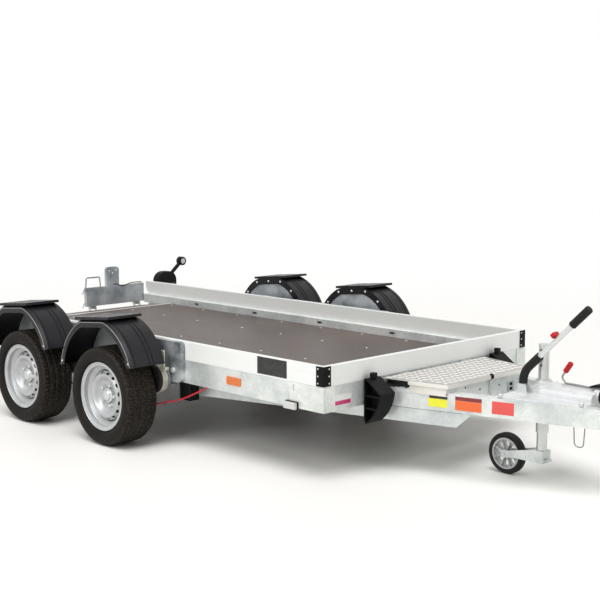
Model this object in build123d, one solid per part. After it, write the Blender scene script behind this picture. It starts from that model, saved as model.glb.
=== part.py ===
from build123d import *
import math
import os

# A tandem-axle low-bed car trailer, parked on its jockey wheel.
# Millimetres, +X forward to the coupling, +Y to the left, +Z up from the ground.
# Everything is placed from the middle between the two axles, then moved along X
# so that the origin is the middle of the overall box, on the ground.

# Running gear
axle_spacing = 780.0
wheel_centre_outside_bed = 208.0
tyre_diameter = 525.0
tyre_width = 192.0
tyre_rubber = 11.0
rim_flange_diameter = 365.0
bead_seat_diameter = 330.0
rim_width = 166.0
rim_sheet = 4.0
rim_lip = 7.0
rim_well_depth = 24.0
wheel_inset = 30.0
disc_crown = 16.0
hub_bore_diameter = 78.0
vent_count = 16
vent_length = 27.0
vent_width = 13.0
vent_circle_radius = 116.0
disc_outer_radius = 102.0
disc_ridge_radius = 82.0
hub_flat_radius = 70.0
drum_diameter = 228.0
drum_depth = 66.0
drum_wall = 12.0
stub_diameter = 40.0
running_clearance = 0.05
seat_gap = 0.3

# Suspension arms and what carries them
pivot_ahead_of_wheel = 195.0
pivot_z = 357.0
pivot_head_diameter = 147.0
arm_hub_diameter = 104.0
arm_thickness = 35.0
arm_outside_bed = 51.0
arm_to_fender = 12.0
boot_thickness = 20.0
bearing_diameter = 122.0
bearing_flange_thickness = 11.0
backplate_thickness = 4.0
backplate_gap = 3.0
axle_tube_diameter = 90.0
axle_plate_depth = 31.0
axle_plate_sheet = 4.0
axle_plate_ahead_of_tube = 152.0
axle_plate_behind_tube = 225.0
axle_plate_corner = 26.0

# Bed
bed_width = 1588.0
bed_length = 3399.0
front_wall_x = 1739.0
wall_top_z = 562.0
wall_height = 96.0
wall_thickness = 25.0
wall_sheet = 2.5
wall_tail_radius = 70.0
sill_height = 122.0
sill_sheet = 4.0
sill_flange = 45.0
deck_z = 420.0
deck_thickness = 18.0
deck_edge_gap = 1.0
tail_length = 312.0
tail_drop = 37.0
kink_strip_width = 34.0
kink_strip_thickness = 3.0
cross_member_width = 50.0
cross_member_sheet = 4.0
members_from_rear_tube = (-709.0, -353.0, 91.0)
members_from_front_tube = (-330.0, 382.0, 737.0)
lashing_slot_length = 44.0
lashing_slot_height = 14.0
lashing_slot_count = 5
corner_cap_sheet = 3.0
corner_cap_reach = 46.0
corner_plate_length = 220.0
corner_slot_length = 34.0
corner_slot_height = 13.0

# Fenders
fender_outer_outside_bed = 310.0
fender_arch_radius = 335.0
fender_arch_above_hub = 90.0
fender_arch_behind_hub = 10.0
fender_base_above_hub = 162.0
fender_top_above_hub = 408.0
fender_shoulder_radius = 150.0
fender_edge_chamfer = 14.0
fender_shell = 4.0
fender_lip = 42.0
fender_tilt = 5.5
fender_rib_height = 3.0
fender_rib_width = 12.0
fender_rib_shares = (0.16, 0.58, 0.70)
fender_pad_half = 148.0
fender_pad_height = 13.0
fender_pad_overhang = 5.0
fender_end_flange = 26.0
fender_end_nose = 6.0
fender_plate_sheet = 3.0
fender_tongue_width = 120.0
fender_tongue_drop = 78.0

# Drawbar
drawbar_half_at_bed = 407.0
drawbar_half_at_nose = 118.0
drawbar_length = 1041.0
drawbar_width = 50.0
drawbar_height = 90.0
drawbar_bottom_z = 330.0
drawbar_sheet = 4.0
under_rail_bottom_z = 258.0
under_rail_tube_gap = 22.0
under_rail_inset = 7.0
under_rail_reach = 379.0
under_rail_taper = 70.0
under_rail_lip = 3.0
under_rail_width = 46.0

# Console with its chequer-plate lid
console_rear_half = 396.0
console_front_half = 322.0
console_rear_gap = 14.0
console_length = 330.0
console_bottom_z = 345.0
console_sheet = 3.0
console_side_opening = 130.0
lid_sheet = 4.0
lid_overhang = 10.0
lid_top_z = 462.0
lid_skirt = 16.0
lid_hinge_diameter = 10.0
lid_pin_diameter = 5.0
lid_hinge_y = 250.0
lid_hinge_length = 60.0

# Wheel chocks on the front beam
chock_centre_y = 492.0
chock_width = 100.0
chock_height = 216.0
chock_depth = 108.0
chock_top_z = 476.0
chock_stand_off = 21.0
chock_sheet = 7.0
chock_knob = 26.0
chock_knob_height = 24.0
chock_holder_top_drop = 6.0
chock_holder_foot_drop = 104.0
chock_holder_sheet = 4.0

# Overrun device, coupling and handbrake
housing_ahead_of_bed = 557.0
housing_length = 404.0
housing_half_width = 54.0
housing_top_z = 478.0
housing_plate = 8.0
housing_fall = 5.0
housing_round = 24.0
housing_shoulder = 130.0
housing_shoulder_half_width = 78.0
housing_shoulder_drop = 7.0
housing_plate_inset = 22.0
housing_ramp_start = 22.0
housing_ramp_end = 112.0
housing_ramp_foot = 16.0
draw_tube_diameter = 50.0
draw_tube_z = 452.0
bellows_length = 82.0
bellows_folds = 5
bellows_low = 5.0
bellows_high = 13.0
coupling_ball_ahead = 130.0
coupling_nose_radius = 50.0
coupling_half_width = 38.0
coupling_half_height = 33.0
ball_socket_diameter = 50.6
ball_socket_wall = 14.0
handle_length = 262.0
handle_width = 34.0
handle_height = 22.0
handle_hub = 60.0
lever_y = -76.0
lever_ahead_of_housing = 41.0
lever_foot_rise = 35.0
lever_bend_rise = 105.0
lever_bend_radius = 100.0
lever_angle = 44.0
lever_run = 350.0
lever_stub = 110.0
lever_pin_diameter = 16.0
lever_cheek = 4.0
lever_cheek_gap = 15.0
lever_sleeve_diameter = 40.0
lever_sleeve_run = 122.0
lever_tube_diameter = 26.0
lever_grip_diameter = 38.0
lever_grip_length = 124.0
button_at = 252.0
button_width = 24.0
button_length = 44.0
button_lift = 33.0
release_y = 24.0
release_behind_front = 214.0
release_diameter = 9.0
release_grip_radius = 13.0

# Jockey wheel
jockey_ahead_of_housing = 101.0
jockey_leg_diameter = 50.0
jockey_leg_wall = 4.0
jockey_leg_top_z = 656.0
jockey_sleeve_diameter = 60.0
jockey_sleeve_bottom_z = 237.0
jockey_slide_gap = 0.5
jockey_wheel_diameter = 200.0
jockey_wheel_width = 44.0
jockey_trail = 193.0
jockey_rim_diameter = 152.0
jockey_axle_diameter = 16.0
fork_plate = 5.0
fork_gap = 56.0
fork_top_z = 150.0
fork_bottom_z = 92.0
kingpin_diameter = 20.0
jockey_hole_drop = 28.0
jockey_hole_pitch = 36.0
jockey_hole_radius = 6.5

# Ramp flaps at the rear
flap_inner_y = 240.0
flap_edge_inset = 39.0
flap_height = 136.0
flap_depth = 28.0
flap_sheet = 3.0
flap_gap = 8.0
flap_hinge_z = 398.0
flap_pin_radius = 7.0
flap_foot_gap = 12.0
flap_folded_angle = 105.0
flap_post_offset = 236.0
flap_post_width = 112.0
flap_post_rise = 140.0
flap_post_depth = 24.0
flap_handle_width = 128.0
flap_handle_rise = 72.0
flap_rod = 10.0

# Lamps and small fittings
rear_lamp_width = 176.0
rear_lamp_height = 140.0
rear_lamp_depth = 62.0
rear_lamp_top_z = 625.0
rear_lamp_outside_bed = 48.0
rear_lamp_round = 70.0
marker_lamp_length = 82.0
marker_lamp_behind_front = 200.0
reflector_length = 104.0
reflector_height = 41.0
reflector_behind_front = 621.0
reflector_z = 407.0
arm_lamp_reach = 104.0
arm_lamp_rise = 138.0
arm_lamp_diameter = 66.0
cable_diameter = 8.0
cable_start_ahead = 60.0
cable_start_drop = 57.0
cable_clear_ahead = 122.0
cable_clear_drop = 62.0
cable_hanger_ahead = 326.0
cable_hanger_drop = 92.0
cable_hanger_radius = 13.0
cable_rise_ahead = 440.0
cable_rise_drop = 41.0
cable_end_ahead = 500.0
cable_loop_rod = 5.0
cable_loop_width = 56.0
cable_loop_drop = 90.0
cable_loop_behind_nose = 128.0

# Places worked out from the sizes above
half_bed = bed_width / 2
half_inner = half_bed - sill_flange
bed_rear_x = front_wall_x - bed_length
wall_bottom_z = wall_top_z - wall_height
sill_bottom_z = wall_bottom_z - sill_height
kink_x = bed_rear_x + tail_length
tail_rear_z = deck_z - tail_drop
deck_bottom_z = deck_z - deck_thickness
hub_z = tyre_diameter / 2
axle_xs = {"front": axle_spacing / 2, "rear": -axle_spacing / 2}
front_tube_x = axle_xs["front"] + pivot_ahead_of_wheel
rear_tube_x = axle_xs["rear"] + pivot_ahead_of_wheel
axle_plate_front_x = front_tube_x + axle_plate_ahead_of_tube
axle_plate_rear_x = rear_tube_x - axle_plate_behind_tube
sides = {"right": -1, "left": 1}
drawbar_top_z = drawbar_bottom_z + drawbar_height
drawbar_nose_x = front_wall_x + drawbar_length
drawbar_slope = (drawbar_half_at_bed - drawbar_half_at_nose) / (drawbar_nose_x - front_wall_x)
wheel_centre_y = half_bed + wheel_centre_outside_bed
arm_inner_y = half_bed + arm_outside_bed
arm_outer_y = arm_inner_y + arm_thickness
fender_inner_y = arm_outer_y + arm_to_fender
fender_outer_y = half_bed + fender_outer_outside_bed
rear_lamp_inner_y = half_bed + rear_lamp_outside_bed
flap_width = half_bed - flap_inner_y - flap_edge_inset
under_rail_rear_x = front_tube_x + axle_tube_diameter / 2 + under_rail_tube_gap
under_rail_taper_start_x = front_wall_x + under_rail_reach
under_rail_taper_end_x = under_rail_taper_start_x + under_rail_taper
housing_rear_x = front_wall_x + housing_ahead_of_bed
housing_front_x = housing_rear_x + housing_length
jockey_x = housing_rear_x + jockey_ahead_of_housing
coupling_rear_x = housing_front_x + bellows_length
coupling_ball_x = coupling_rear_x + coupling_ball_ahead
marker_lamp_x = front_wall_x - marker_lamp_behind_front
reflector_x = front_wall_x - reflector_behind_front

parts = {}


def block(x0, x1, y0, y1, z0, z1):
    """A box between two corners."""
    return Pos((x0 + x1) / 2, (y0 + y1) / 2, (z0 + z1) / 2) * Box(x1 - x0, y1 - y0, z1 - z0)


def side_slab(outline, y0, y1):
    """A sketch or a list of (x, z) points, as thick as y0 to y1."""
    face = Polygon(*outline, align=None) if isinstance(outline, list) else outline
    return extrude(Plane(origin=(0, y1, 0), x_dir=(1, 0, 0), z_dir=(0, -1, 0)) * face, y1 - y0, dir=(0, -1, 0))


def plan_slab(outline, z0, z1):
    """A list of (x, y) points, as thick as z0 to z1."""
    return extrude(Pos(0, 0, z0) * Polygon(*outline, align=None), z1 - z0, dir=(0, 0, 1))


def cross_slab(outline, x0, x1):
    """A sketch or a list of (y, z) points, as long as x0 to x1."""
    face = Polygon(*outline, align=None) if isinstance(outline, list) else outline
    return extrude(Plane(origin=(x0, 0, 0), x_dir=(0, 1, 0), z_dir=(1, 0, 0)) * face, x1 - x0, dir=(1, 0, 0))


def folded(path, sheet):
    """Outline of a folded sheet: the path, and the path moved to its left by the sheet's thickness."""
    normals = []
    for (x0, y0), (x1, y1) in zip(path, path[1:]):
        length = math.hypot(x1 - x0, y1 - y0)
        normals.append((-(y1 - y0) / length, (x1 - x0) / length))
    moved = []
    for i, (x, y) in enumerate(path):
        before = normals[max(i - 1, 0)]
        after = normals[min(i, len(normals) - 1)]
        scale = sheet / (1 + before[0] * after[0] + before[1] * after[1])
        moved.append((x + scale * (before[0] + after[0]), y + scale * (before[1] + after[1])))
    return path + moved[::-1]


def rod_y(x, z, radius, y0, y1):
    """A round bar along Y."""
    return Pos(x, (y0 + y1) / 2, z) * Rot(90, 0, 0) * Cylinder(radius, abs(y1 - y0))


def rod_x(y, z, radius, x0, x1):
    """A round bar along X."""
    return Pos((x0 + x1) / 2, y, z) * Rot(0, 90, 0) * Cylinder(radius, x1 - x0)


def rod_z(x, y, radius, z0, z1):
    """A round bar along Z."""
    return Pos(x, y, (z0 + z1) / 2) * Cylinder(radius, z1 - z0)


def bent_rod(points, diameter, radii):
    """A round bar along straight runs joined by arcs."""
    line = FilletPolyline(*points, radius=radii)
    start = Plane(origin=line @ 0, z_dir=line % 0)
    return sweep(start * Circle(diameter / 2), path=line)


def on_left(shape):
    """The same shape on the other side of the trailer."""
    return mirror(shape, about=Plane.XZ)


def on_side(shape, side):
    return shape if side < 0 else on_left(shape)


def both_sides(*shapes):
    """Right-hand shapes with their mirror images, as separate solids of one piece."""
    return together([*shapes, *[on_left(shape) for shape in shapes]])


def together(shapes):
    """Separate solids as one piece."""
    return Compound([solid for shape in shapes for solid in shape.solids()])


def spun(points, radius=0):
    """A closed profile of (radius, outward) points turned about the wheel's axis, outward towards -Y."""
    face = Polygon(*[(r, -a) for r, a in points], align=None)
    if radius:
        face = fillet(face.vertices(), radius)
    return revolve(face, Axis.Y, 360)


# Road wheels

def tyre():
    outer = tyre_diameter / 2
    half = tyre_width / 2
    bead = bead_seat_diameter / 2 + seat_gap
    edge = rim_width / 2 - rim_lip - seat_gap
    over = rim_flange_diameter / 2 + 5
    wall = tyre_rubber
    rise = outer - over
    side = over + rise / 2
    shoulder = rise * 0.19
    outside = [(bead, edge - 1), (over, edge), (side, half), (outer - shoulder, half - 3), (outer, half - 20)]
    inside = [(outer - wall, half - 24), (outer - wall - shoulder / 2, half - wall - 3), (side, half - wall),
              (over, edge - wall), (bead, edge - wall)]
    other_outside = [(r, -a) for r, a in outside[::-1]]
    other_inside = [(r, -a) for r, a in inside[::-1]]
    return spun(outside + other_outside + other_inside + inside, shoulder / 4)


def rim():
    seat = bead_seat_diameter / 2
    flange = rim_flange_diameter / 2
    edge = rim_width / 2
    well = seat - rim_well_depth
    under = edge - rim_lip
    barrel = spun(folded([(flange, edge), (flange, under), (seat, under - 1), (seat, 56), (well, 40), (well, 4),
                          (seat, -16), (seat, 1 - under), (flange, -under), (flange, -edge)], -rim_sheet))
    inside = well - rim_sheet / 2
    crown = wheel_inset + disc_crown
    disc_path = [(inside, 22), (inside - 8, 20), (disc_outer_radius, crown), (disc_ridge_radius, crown), (hub_flat_radius, wheel_inset),
                 (hub_bore_diameter / 2, wheel_inset)]
    disc = spun(folded(disc_path, rim_sheet))
    vent = SlotOverall(vent_length, vent_width, rotation=90)
    vents = Plane.XZ * (Sketch() + PolarLocations(vent_circle_radius, vent_count) * vent)
    disc -= extrude(vents, 60, both=True)
    return barrel + disc


def hub_drum():
    """Brake drum, hub barrel and grease cap, bored for the stub axle."""
    face = wheel_inset
    drum_face = wheel_inset - rim_sheet - seat_gap
    outer = drum_diameter / 2
    inner_end = drum_face - drum_depth
    bore = stub_diameter / 2 + running_clearance
    hub_radius = hub_bore_diameter / 2 - seat_gap
    drum = spun([(hub_radius - 2, drum_face), (outer - 4, drum_face), (outer, drum_face - 4), (outer, inner_end),
                 (outer - drum_wall, inner_end), (outer - drum_wall, drum_face - 10), (hub_radius - 2, drum_face - 10)])
    barrel = spun([(bore, inner_end + 4), (bore, face + 8), (0, face + 8), (0, face + 32), (22, face + 32),
                   (28, face + 26), (28, face + 14), (hub_radius, face + 12), (hub_radius, inner_end + 4)])
    return drum + barrel


tyre_shape = tyre()
rim_shape = rim()
drum_shape = hub_drum()
for axle, x in axle_xs.items():
    for name, side in sides.items():
        place = Pos(x, side * wheel_centre_y, hub_z)
        parts[f"tyre_{axle}_{name}"] = place * on_side(tyre_shape, side)
        parts[f"rim_{axle}_{name}"] = together([place * on_side(shape, side) for shape in (rim_shape, drum_shape)])


# Suspension: the arms trail from a cross tube to the hubs

def trailing_arm(axle_x):
    """Arm with its pivot head, stub axle and brake backplate, on the right side."""
    pivot_x = axle_x + pivot_ahead_of_wheel
    head = Pos(pivot_x, pivot_z) * Circle(pivot_head_diameter / 2)
    eye = Pos(axle_x, hub_z) * Circle(arm_hub_diameter / 2)
    arm = side_slab(make_hull((head + eye).edges()), -arm_outer_y, -arm_inner_y)
    drum_end = wheel_centre_y + wheel_inset - rim_sheet - seat_gap - drum_depth
    plate_outer = drum_end - backplate_gap
    boss = rod_y(axle_x, hub_z, arm_hub_diameter / 2 - 8, -plate_outer + backplate_thickness, -arm_outer_y)
    shaft = rod_y(axle_x, hub_z, stub_diameter / 2, -(wheel_centre_y + wheel_inset + 6), -plate_outer)
    plate = rod_y(axle_x, hub_z, drum_diameter / 2 + 4, -plate_outer, -plate_outer + backplate_thickness)
    return arm + boss + shaft + plate


def arm_boot(axle_x):
    """Black cover over the pivot head's outer face."""
    pivot_x = axle_x + pivot_ahead_of_wheel
    disc = rod_y(pivot_x, pivot_z, pivot_head_diameter / 2, -arm_outer_y - boot_thickness, -arm_outer_y)
    return fillet(disc.edges().sort_by(Axis.Y)[0], 5)


def arm_bearing(axle_x):
    """Stub of tube with a flange between the axle plate and the arm."""
    pivot_x = axle_x + pivot_ahead_of_wheel
    plate_face = half_bed + axle_plate_depth
    tube = rod_y(pivot_x, pivot_z, bearing_diameter / 2, -arm_inner_y, -plate_face)
    flange_y = (plate_face + arm_inner_y) / 2
    flange = rod_y(pivot_x, pivot_z, pivot_head_diameter / 2, -flange_y - bearing_flange_thickness / 2,
                   -flange_y + bearing_flange_thickness / 2)
    return tube + flange


def axle_plate():
    """Folded plate outside the sill that carries the bearings, open towards the bed."""
    lower = sill_bottom_z + 2
    upper = wall_top_z - 3
    middle = (axle_plate_rear_x + axle_plate_front_x) / 2
    length = axle_plate_front_x - axle_plate_rear_x
    outline = Pos(middle, (lower + upper) / 2) * RectangleRounded(length, upper - lower, axle_plate_corner)
    hollow = offset(outline, -axle_plate_sheet)
    face = half_bed + axle_plate_depth
    return side_slab(outline, -face, -half_bed) - side_slab(hollow, -face + axle_plate_sheet, -half_bed)


arms, boots, tubes = [], [], []
for x in axle_xs.values():
    for side in sides.values():
        arms.append(on_side(trailing_arm(x), side))
        boots.append(on_side(arm_boot(x), side))
        tubes.append(on_side(arm_bearing(x), side))
    inner = half_bed - sill_sheet - seat_gap
    tubes.append(rod_y(x + pivot_ahead_of_wheel, pivot_z, axle_tube_diameter / 2, -inner, inner))
parts["trailing_arms"] = together(arms)
parts["arm_boots"] = together(boots)
parts["axle_tubes"] = together(tubes)
parts["axle_plates"] = both_sides(axle_plate())


# Bed frame

def sill():
    """Folded side rail: bottom flange, outer web, top flange and a slotted lashing lip."""
    outer = -half_bed
    path = [(-half_inner, sill_bottom_z), (outer, sill_bottom_z), (outer, wall_bottom_z),
            (-half_inner, wall_bottom_z), (-half_inner, deck_bottom_z + 1)]
    rail = cross_slab(folded(path, -sill_sheet), bed_rear_x, front_wall_x - sill_sheet - seat_gap)
    slots = []
    for i in range(lashing_slot_count):
        x = kink_x + (front_wall_x - kink_x) * (i + 0.5) / lashing_slot_count
        slot = Pos(x, (deck_z + wall_bottom_z) / 2) * SlotOverall(lashing_slot_length, lashing_slot_height)
        slots.append(side_slab(slot, -half_inner - 2 * sill_sheet, -half_inner + 2 * sill_sheet))
    for x in axle_xs.values():
        hole = axle_tube_diameter / 2 + seat_gap
        slots.append(rod_y(x + pivot_ahead_of_wheel, pivot_z, hole, -half_bed + sill_sheet, -half_inner + 1))
    return rail - slots


def front_beam():
    """The same section across the front."""
    face = front_wall_x
    lip = face - sill_flange
    path = [(lip, sill_bottom_z), (face, sill_bottom_z), (face, wall_bottom_z), (lip, wall_bottom_z),
            (lip, deck_bottom_z + 1)]
    reach = half_inner - seat_gap
    beam = side_slab(folded(path, sill_sheet), -reach, reach)
    web = block(face - sill_sheet, face, -half_bed, half_bed, sill_bottom_z, wall_bottom_z)
    return beam + web


def corner_plate():
    """Doubler plate wrapped round the front corner of the frame, with an oblong slot."""
    gap = seat_gap
    outer = half_bed + gap + sill_sheet
    face = front_wall_x + gap + sill_sheet
    x0 = front_wall_x - corner_plate_length
    path = [(x0, -outer), (face, -outer), (face, -half_bed + corner_plate_length / 3)]
    plate = plan_slab(folded(path, sill_sheet), sill_bottom_z, wall_bottom_z - 4)
    slot = Pos(x0 + 28, wall_bottom_z - 28) * SlotOverall(corner_slot_length, corner_slot_height, rotation=90)
    return plate - side_slab(slot, -outer - 5, -half_bed)


def rear_beam():
    top = tail_rear_z - deck_thickness - seat_gap
    back = bed_rear_x
    front = back + 60
    slope = tail_drop / tail_length
    outline = [(back, sill_bottom_z), (front, sill_bottom_z), (front, top + 60 * slope), (back, top)]
    reach = half_inner - seat_gap
    beam = side_slab(outline, -reach, reach)
    hollow = [(back + 4, sill_bottom_z + 4), (front - 4, sill_bottom_z + 4),
              (front - 4, top + 56 * slope - 4), (back + 4, top - 4)]
    return beam - side_slab(hollow, -reach, reach)


def cross_members():
    """Channels across the bed, open downwards at their ends, clear of the two axle tubes."""
    reach = half_inner - seat_gap
    half = cross_member_width / 2
    first = kink_x + half + cross_member_sheet
    stations = [rear_tube_x + run for run in members_from_rear_tube]
    stations += [front_tube_x + run for run in members_from_front_tube]
    members = []
    for x in [first, *[x for x in stations if x > first + cross_member_width]]:
        path = [(x + half - 14, sill_bottom_z), (x - half, sill_bottom_z), (x - half, deck_bottom_z),
                (x + half, deck_bottom_z), (x + half, sill_bottom_z + 14)]
        members.append(side_slab(folded(path, -cross_member_sheet), -reach, reach))
    return members


parts["sills"] = both_sides(sill())
parts["front_beam"] = front_beam()
parts["corner_plates"] = both_sides(corner_plate())
parts["cross_members"] = together(cross_members())


# Deck and walls

def deck_board():
    reach = half_inner - deck_edge_gap
    front = front_wall_x - sill_flange - deck_edge_gap
    return block(kink_x + deck_edge_gap, front, -reach, reach, deck_bottom_z, deck_z)


def tail_board():
    """The last stretch of deck, sloping down to the rear beam."""
    reach = half_inner - deck_edge_gap
    front = kink_x - deck_edge_gap
    rise = deck_edge_gap * tail_drop / tail_length
    outline = [(bed_rear_x, tail_rear_z), (bed_rear_x, tail_rear_z - deck_thickness),
               (front, deck_bottom_z - rise), (front, deck_z - rise)]
    return side_slab(outline, -reach, reach)


def kink_strip():
    """Cover strip over the joint of the two boards, bent to both slopes."""
    half = kink_strip_width / 2
    drop = half * tail_drop / tail_length
    base = deck_z + seat_gap
    path = [(kink_x - half, base - drop), (kink_x, base), (kink_x + half, base)]
    return side_slab(folded(path, kink_strip_thickness), -half_inner + 2, half_inner - 2)


def side_wall():
    """Hollow wall section along the sill, its lower rear corner rounded off."""
    outer = -half_bed
    inner = outer + wall_thickness
    sheet = wall_sheet
    front = front_wall_x - wall_thickness - seat_gap
    rib = (wall_bottom_z + wall_top_z) / 2
    wall = block(bed_rear_x, front, outer, inner, wall_bottom_z, wall_top_z)
    crown = wall.edges().filter_by(Axis.X).group_by(Axis.Z)[-1]
    wall = fillet(crown, 3)
    wall -= block(bed_rear_x - 1, front + 1, outer + sheet, inner - sheet, wall_bottom_z + sheet, rib - sheet / 2)
    wall -= block(bed_rear_x - 1, front + 1, outer + sheet, inner - sheet, rib + sheet / 2, wall_top_z - sheet)
    radius = wall_tail_radius
    corner = block(bed_rear_x - 1, bed_rear_x + radius, outer - 1, inner + 1, wall_bottom_z - 1, wall_bottom_z + radius)
    return wall - (corner - rod_y(bed_rear_x + radius, wall_bottom_z + radius, radius, outer - 1, inner + 1))


def front_wall():
    outer = front_wall_x
    inner = outer - wall_thickness
    sheet = wall_sheet
    rib = (wall_bottom_z + wall_top_z) / 2
    wall = block(inner, outer, -half_bed, half_bed, wall_bottom_z, wall_top_z)
    crown = wall.edges().filter_by(Axis.Y).group_by(Axis.Z)[-1]
    wall = fillet(crown, 3)
    wall -= block(inner + sheet, outer - sheet, -half_bed, half_bed, wall_bottom_z + sheet, rib - sheet / 2)
    wall -= block(inner + sheet, outer - sheet, -half_bed, half_bed, rib + sheet / 2, wall_top_z - sheet)
    return wall


def corner_cap():
    """Moulded cap round the outside of a front wall corner."""
    gap = seat_gap
    outer = half_bed + gap + corner_cap_sheet
    face = front_wall_x + gap + corner_cap_sheet
    path = [(front_wall_x - corner_cap_reach, -outer), (face, -outer), (face, -half_bed + corner_cap_reach)]
    cap = plan_slab(folded(path, corner_cap_sheet), wall_bottom_z + 1, wall_top_z - 1)
    corner = cap.edges().filter_by(Axis.Z).sort_by(lambda e: (e.center() - Vector(face, -outer, 0)).length)[0]
    return fillet(corner, corner_cap_sheet - 0.6)


parts["deck_boards"] = together([deck_board(), tail_board()])
parts["kink_strip"] = kink_strip()
parts["side_walls"] = both_sides(side_wall())
parts["front_wall"] = front_wall()
parts["corner_caps"] = both_sides(corner_cap())


# Fenders: one moulded arch over each wheel, tilted nose up with its arm

def arch(inset, foot=0.0):
    """Arch outline over the wheel: a circle cut by a flat top and a level foot, moved inwards by the inset."""
    radius = fender_arch_radius - inset
    top = fender_top_above_hub - inset
    base = fender_base_above_hub - foot
    circle = Pos(-fender_arch_behind_hub, fender_arch_above_hub) * Circle(radius)
    window = Pos(-fender_arch_behind_hub, (top + base) / 2) * Rectangle(3 * radius, top - base)
    face = circle & window
    return fillet(face.vertices().group_by(Axis.Y)[-1], fender_shoulder_radius - inset)


def eased_arch(inset, foot, outer, inner, edge):
    """The arch as a solid, its outer rim cut back by the edge width."""
    solid = side_slab(arch(inset, foot), outer, inner)
    base = fender_base_above_hub - foot
    rim = solid.faces().sort_by(Axis.Y)[0].edges().filter_by(lambda e: e.center().Z > base + 1)
    return chamfer(rim, edge)


def fender():
    """Moulded shell with lips on both sides, end flanges, raised ribs and flat pads on top."""
    inner, outer = -fender_inner_y, -fender_outer_y
    deep = fender_lip
    shell = eased_arch(0, 0, outer, inner, fender_edge_chamfer)
    shell -= eased_arch(fender_shell, deep, outer + fender_shell, inner - fender_shell,
                        fender_edge_chamfer - fender_shell / 2)
    shell -= side_slab(arch(fender_lip, deep), outer - 1, inner + 1)
    width = inner - outer
    for share in fender_rib_shares:
        y = outer + width * share
        rib = side_slab(arch(-fender_rib_height), y - fender_rib_width / 2, y + fender_rib_width / 2)
        shell += rib - side_slab(arch(fender_shell / 2, deep), outer, inner)
    base, top = fender_base_above_hub, fender_top_above_hub
    for x0, x1 in fender_ends():
        shell += block(x0, x1, outer, inner, base, base + fender_shell)
    pad = block(-fender_pad_half, fender_pad_half, outer - fender_pad_overhang, inner, top - 1, top + fender_pad_height)
    for x in (-fender_pad_half / 2, fender_pad_half / 4):
        groove = fender_pad_height / 2
        pad -= block(x, x + fender_rib_width, outer - fender_pad_overhang - 1, inner + 1, top + groove, top + 2 * groove + 1)
    return shell + pad


def fender_ends():
    """Stations of the flanges at the feet of the arch."""
    half = math.sqrt(fender_arch_radius ** 2 - (fender_base_above_hub - fender_arch_above_hub) ** 2)
    rear, front = -fender_arch_behind_hub - half, -fender_arch_behind_hub + half
    return (rear - fender_end_nose, rear + fender_end_flange), (front - fender_end_flange, front + fender_end_nose)


def fender_plate():
    """Sheet-metal inner side behind the shell's lip, with a foot that stands against the arm."""
    foot_half = fender_tongue_width / 2
    face = -fender_inner_y - fender_shell - seat_gap
    base = fender_base_above_hub
    low = base - fender_tongue_drop
    plate = side_slab(arch(fender_shell + fender_plate_sheet), face - fender_plate_sheet, face)
    for x0, x1 in fender_ends():
        plate -= block(x0 - seat_gap, x1 + seat_gap, face - fender_plate_sheet - 1, face + 1, base - 1,
                       base + fender_shell + seat_gap)
    plate += block(-foot_half, foot_half, face - fender_plate_sheet, face, low, base + 10)
    return plate + block(-foot_half, foot_half, face - 1, -arm_outer_y - seat_gap, low, base - 6)


tilt = Rot(0, -fender_tilt, 0)
fender_shape, fender_plate_shape = fender(), fender_plate()
fender_places = [Pos(x, 0, hub_z) * tilt for x in axle_xs.values()]
for name, side in sides.items():
    parts[f"fenders_{name}"] = together([on_side(place * fender_shape, side) for place in fender_places])
parts["fender_plates"] = both_sides(*[place * fender_plate_shape for place in fender_places])


# Drawbar

def beam_y(x):
    """Outer face of the right drawbar beam at a station."""
    return -drawbar_half_at_bed + drawbar_slope * (x - front_wall_x)


slant_width = math.hypot(1, drawbar_slope)


def drawbar_beam():
    back, nose = front_wall_x + sill_sheet + 2 * seat_gap, drawbar_nose_x

    def band(inset, low, high):
        near, far = inset * slant_width, (drawbar_width - inset) * slant_width
        return plan_slab([(back, beam_y(back) + near), (nose, beam_y(nose) + near),
                          (nose, beam_y(nose) + far), (back, beam_y(back) + far)], low, high)

    sheet = drawbar_sheet
    return band(0, drawbar_bottom_z, drawbar_top_z) - band(sheet, drawbar_bottom_z + sheet, drawbar_top_z - sheet)


def under_rail():
    """Tapered rail that runs below the beam, on under the bed to the front axle tube."""
    step_x = front_wall_x + sill_sheet
    outline = [(under_rail_rear_x, under_rail_bottom_z), (under_rail_taper_start_x, under_rail_bottom_z),
               (under_rail_taper_end_x, drawbar_bottom_z - 6), (under_rail_taper_end_x, drawbar_bottom_z),
               (step_x, drawbar_bottom_z), (step_x, sill_bottom_z), (under_rail_rear_x, sill_bottom_z)]
    blank = side_slab(outline, -half_bed, 0)
    x0, x1 = under_rail_rear_x - 1, under_rail_taper_end_x + 1
    lip = under_rail_lip

    def band(near, far):
        return [(x0, beam_y(x0) + near), (x1, beam_y(x1) + near), (x1, beam_y(x1) + far), (x0, beam_y(x0) + far)]

    near, far = under_rail_inset, under_rail_inset + under_rail_width
    wide = plan_slab(band(near, far), 0, wall_top_z)
    hollow = plan_slab(band(near + lip, far + 1), under_rail_bottom_z + lip, drawbar_bottom_z - lip)
    return (blank & wide) - hollow


parts["drawbar_beams"] = both_sides(drawbar_beam())
parts["under_rails"] = both_sides(under_rail())


# Console between the beams, with a hinged chequer-plate lid

lid_rear_x = front_wall_x + console_rear_gap
console_rear_x = lid_rear_x + lid_hinge_diameter / 2 + 3
console_front_x = lid_rear_x + console_length
console_top_z = lid_top_z - lid_sheet
lid_hinge_x = lid_rear_x + 1
lid_hinge_z = lid_top_z - lid_sheet / 2


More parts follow.
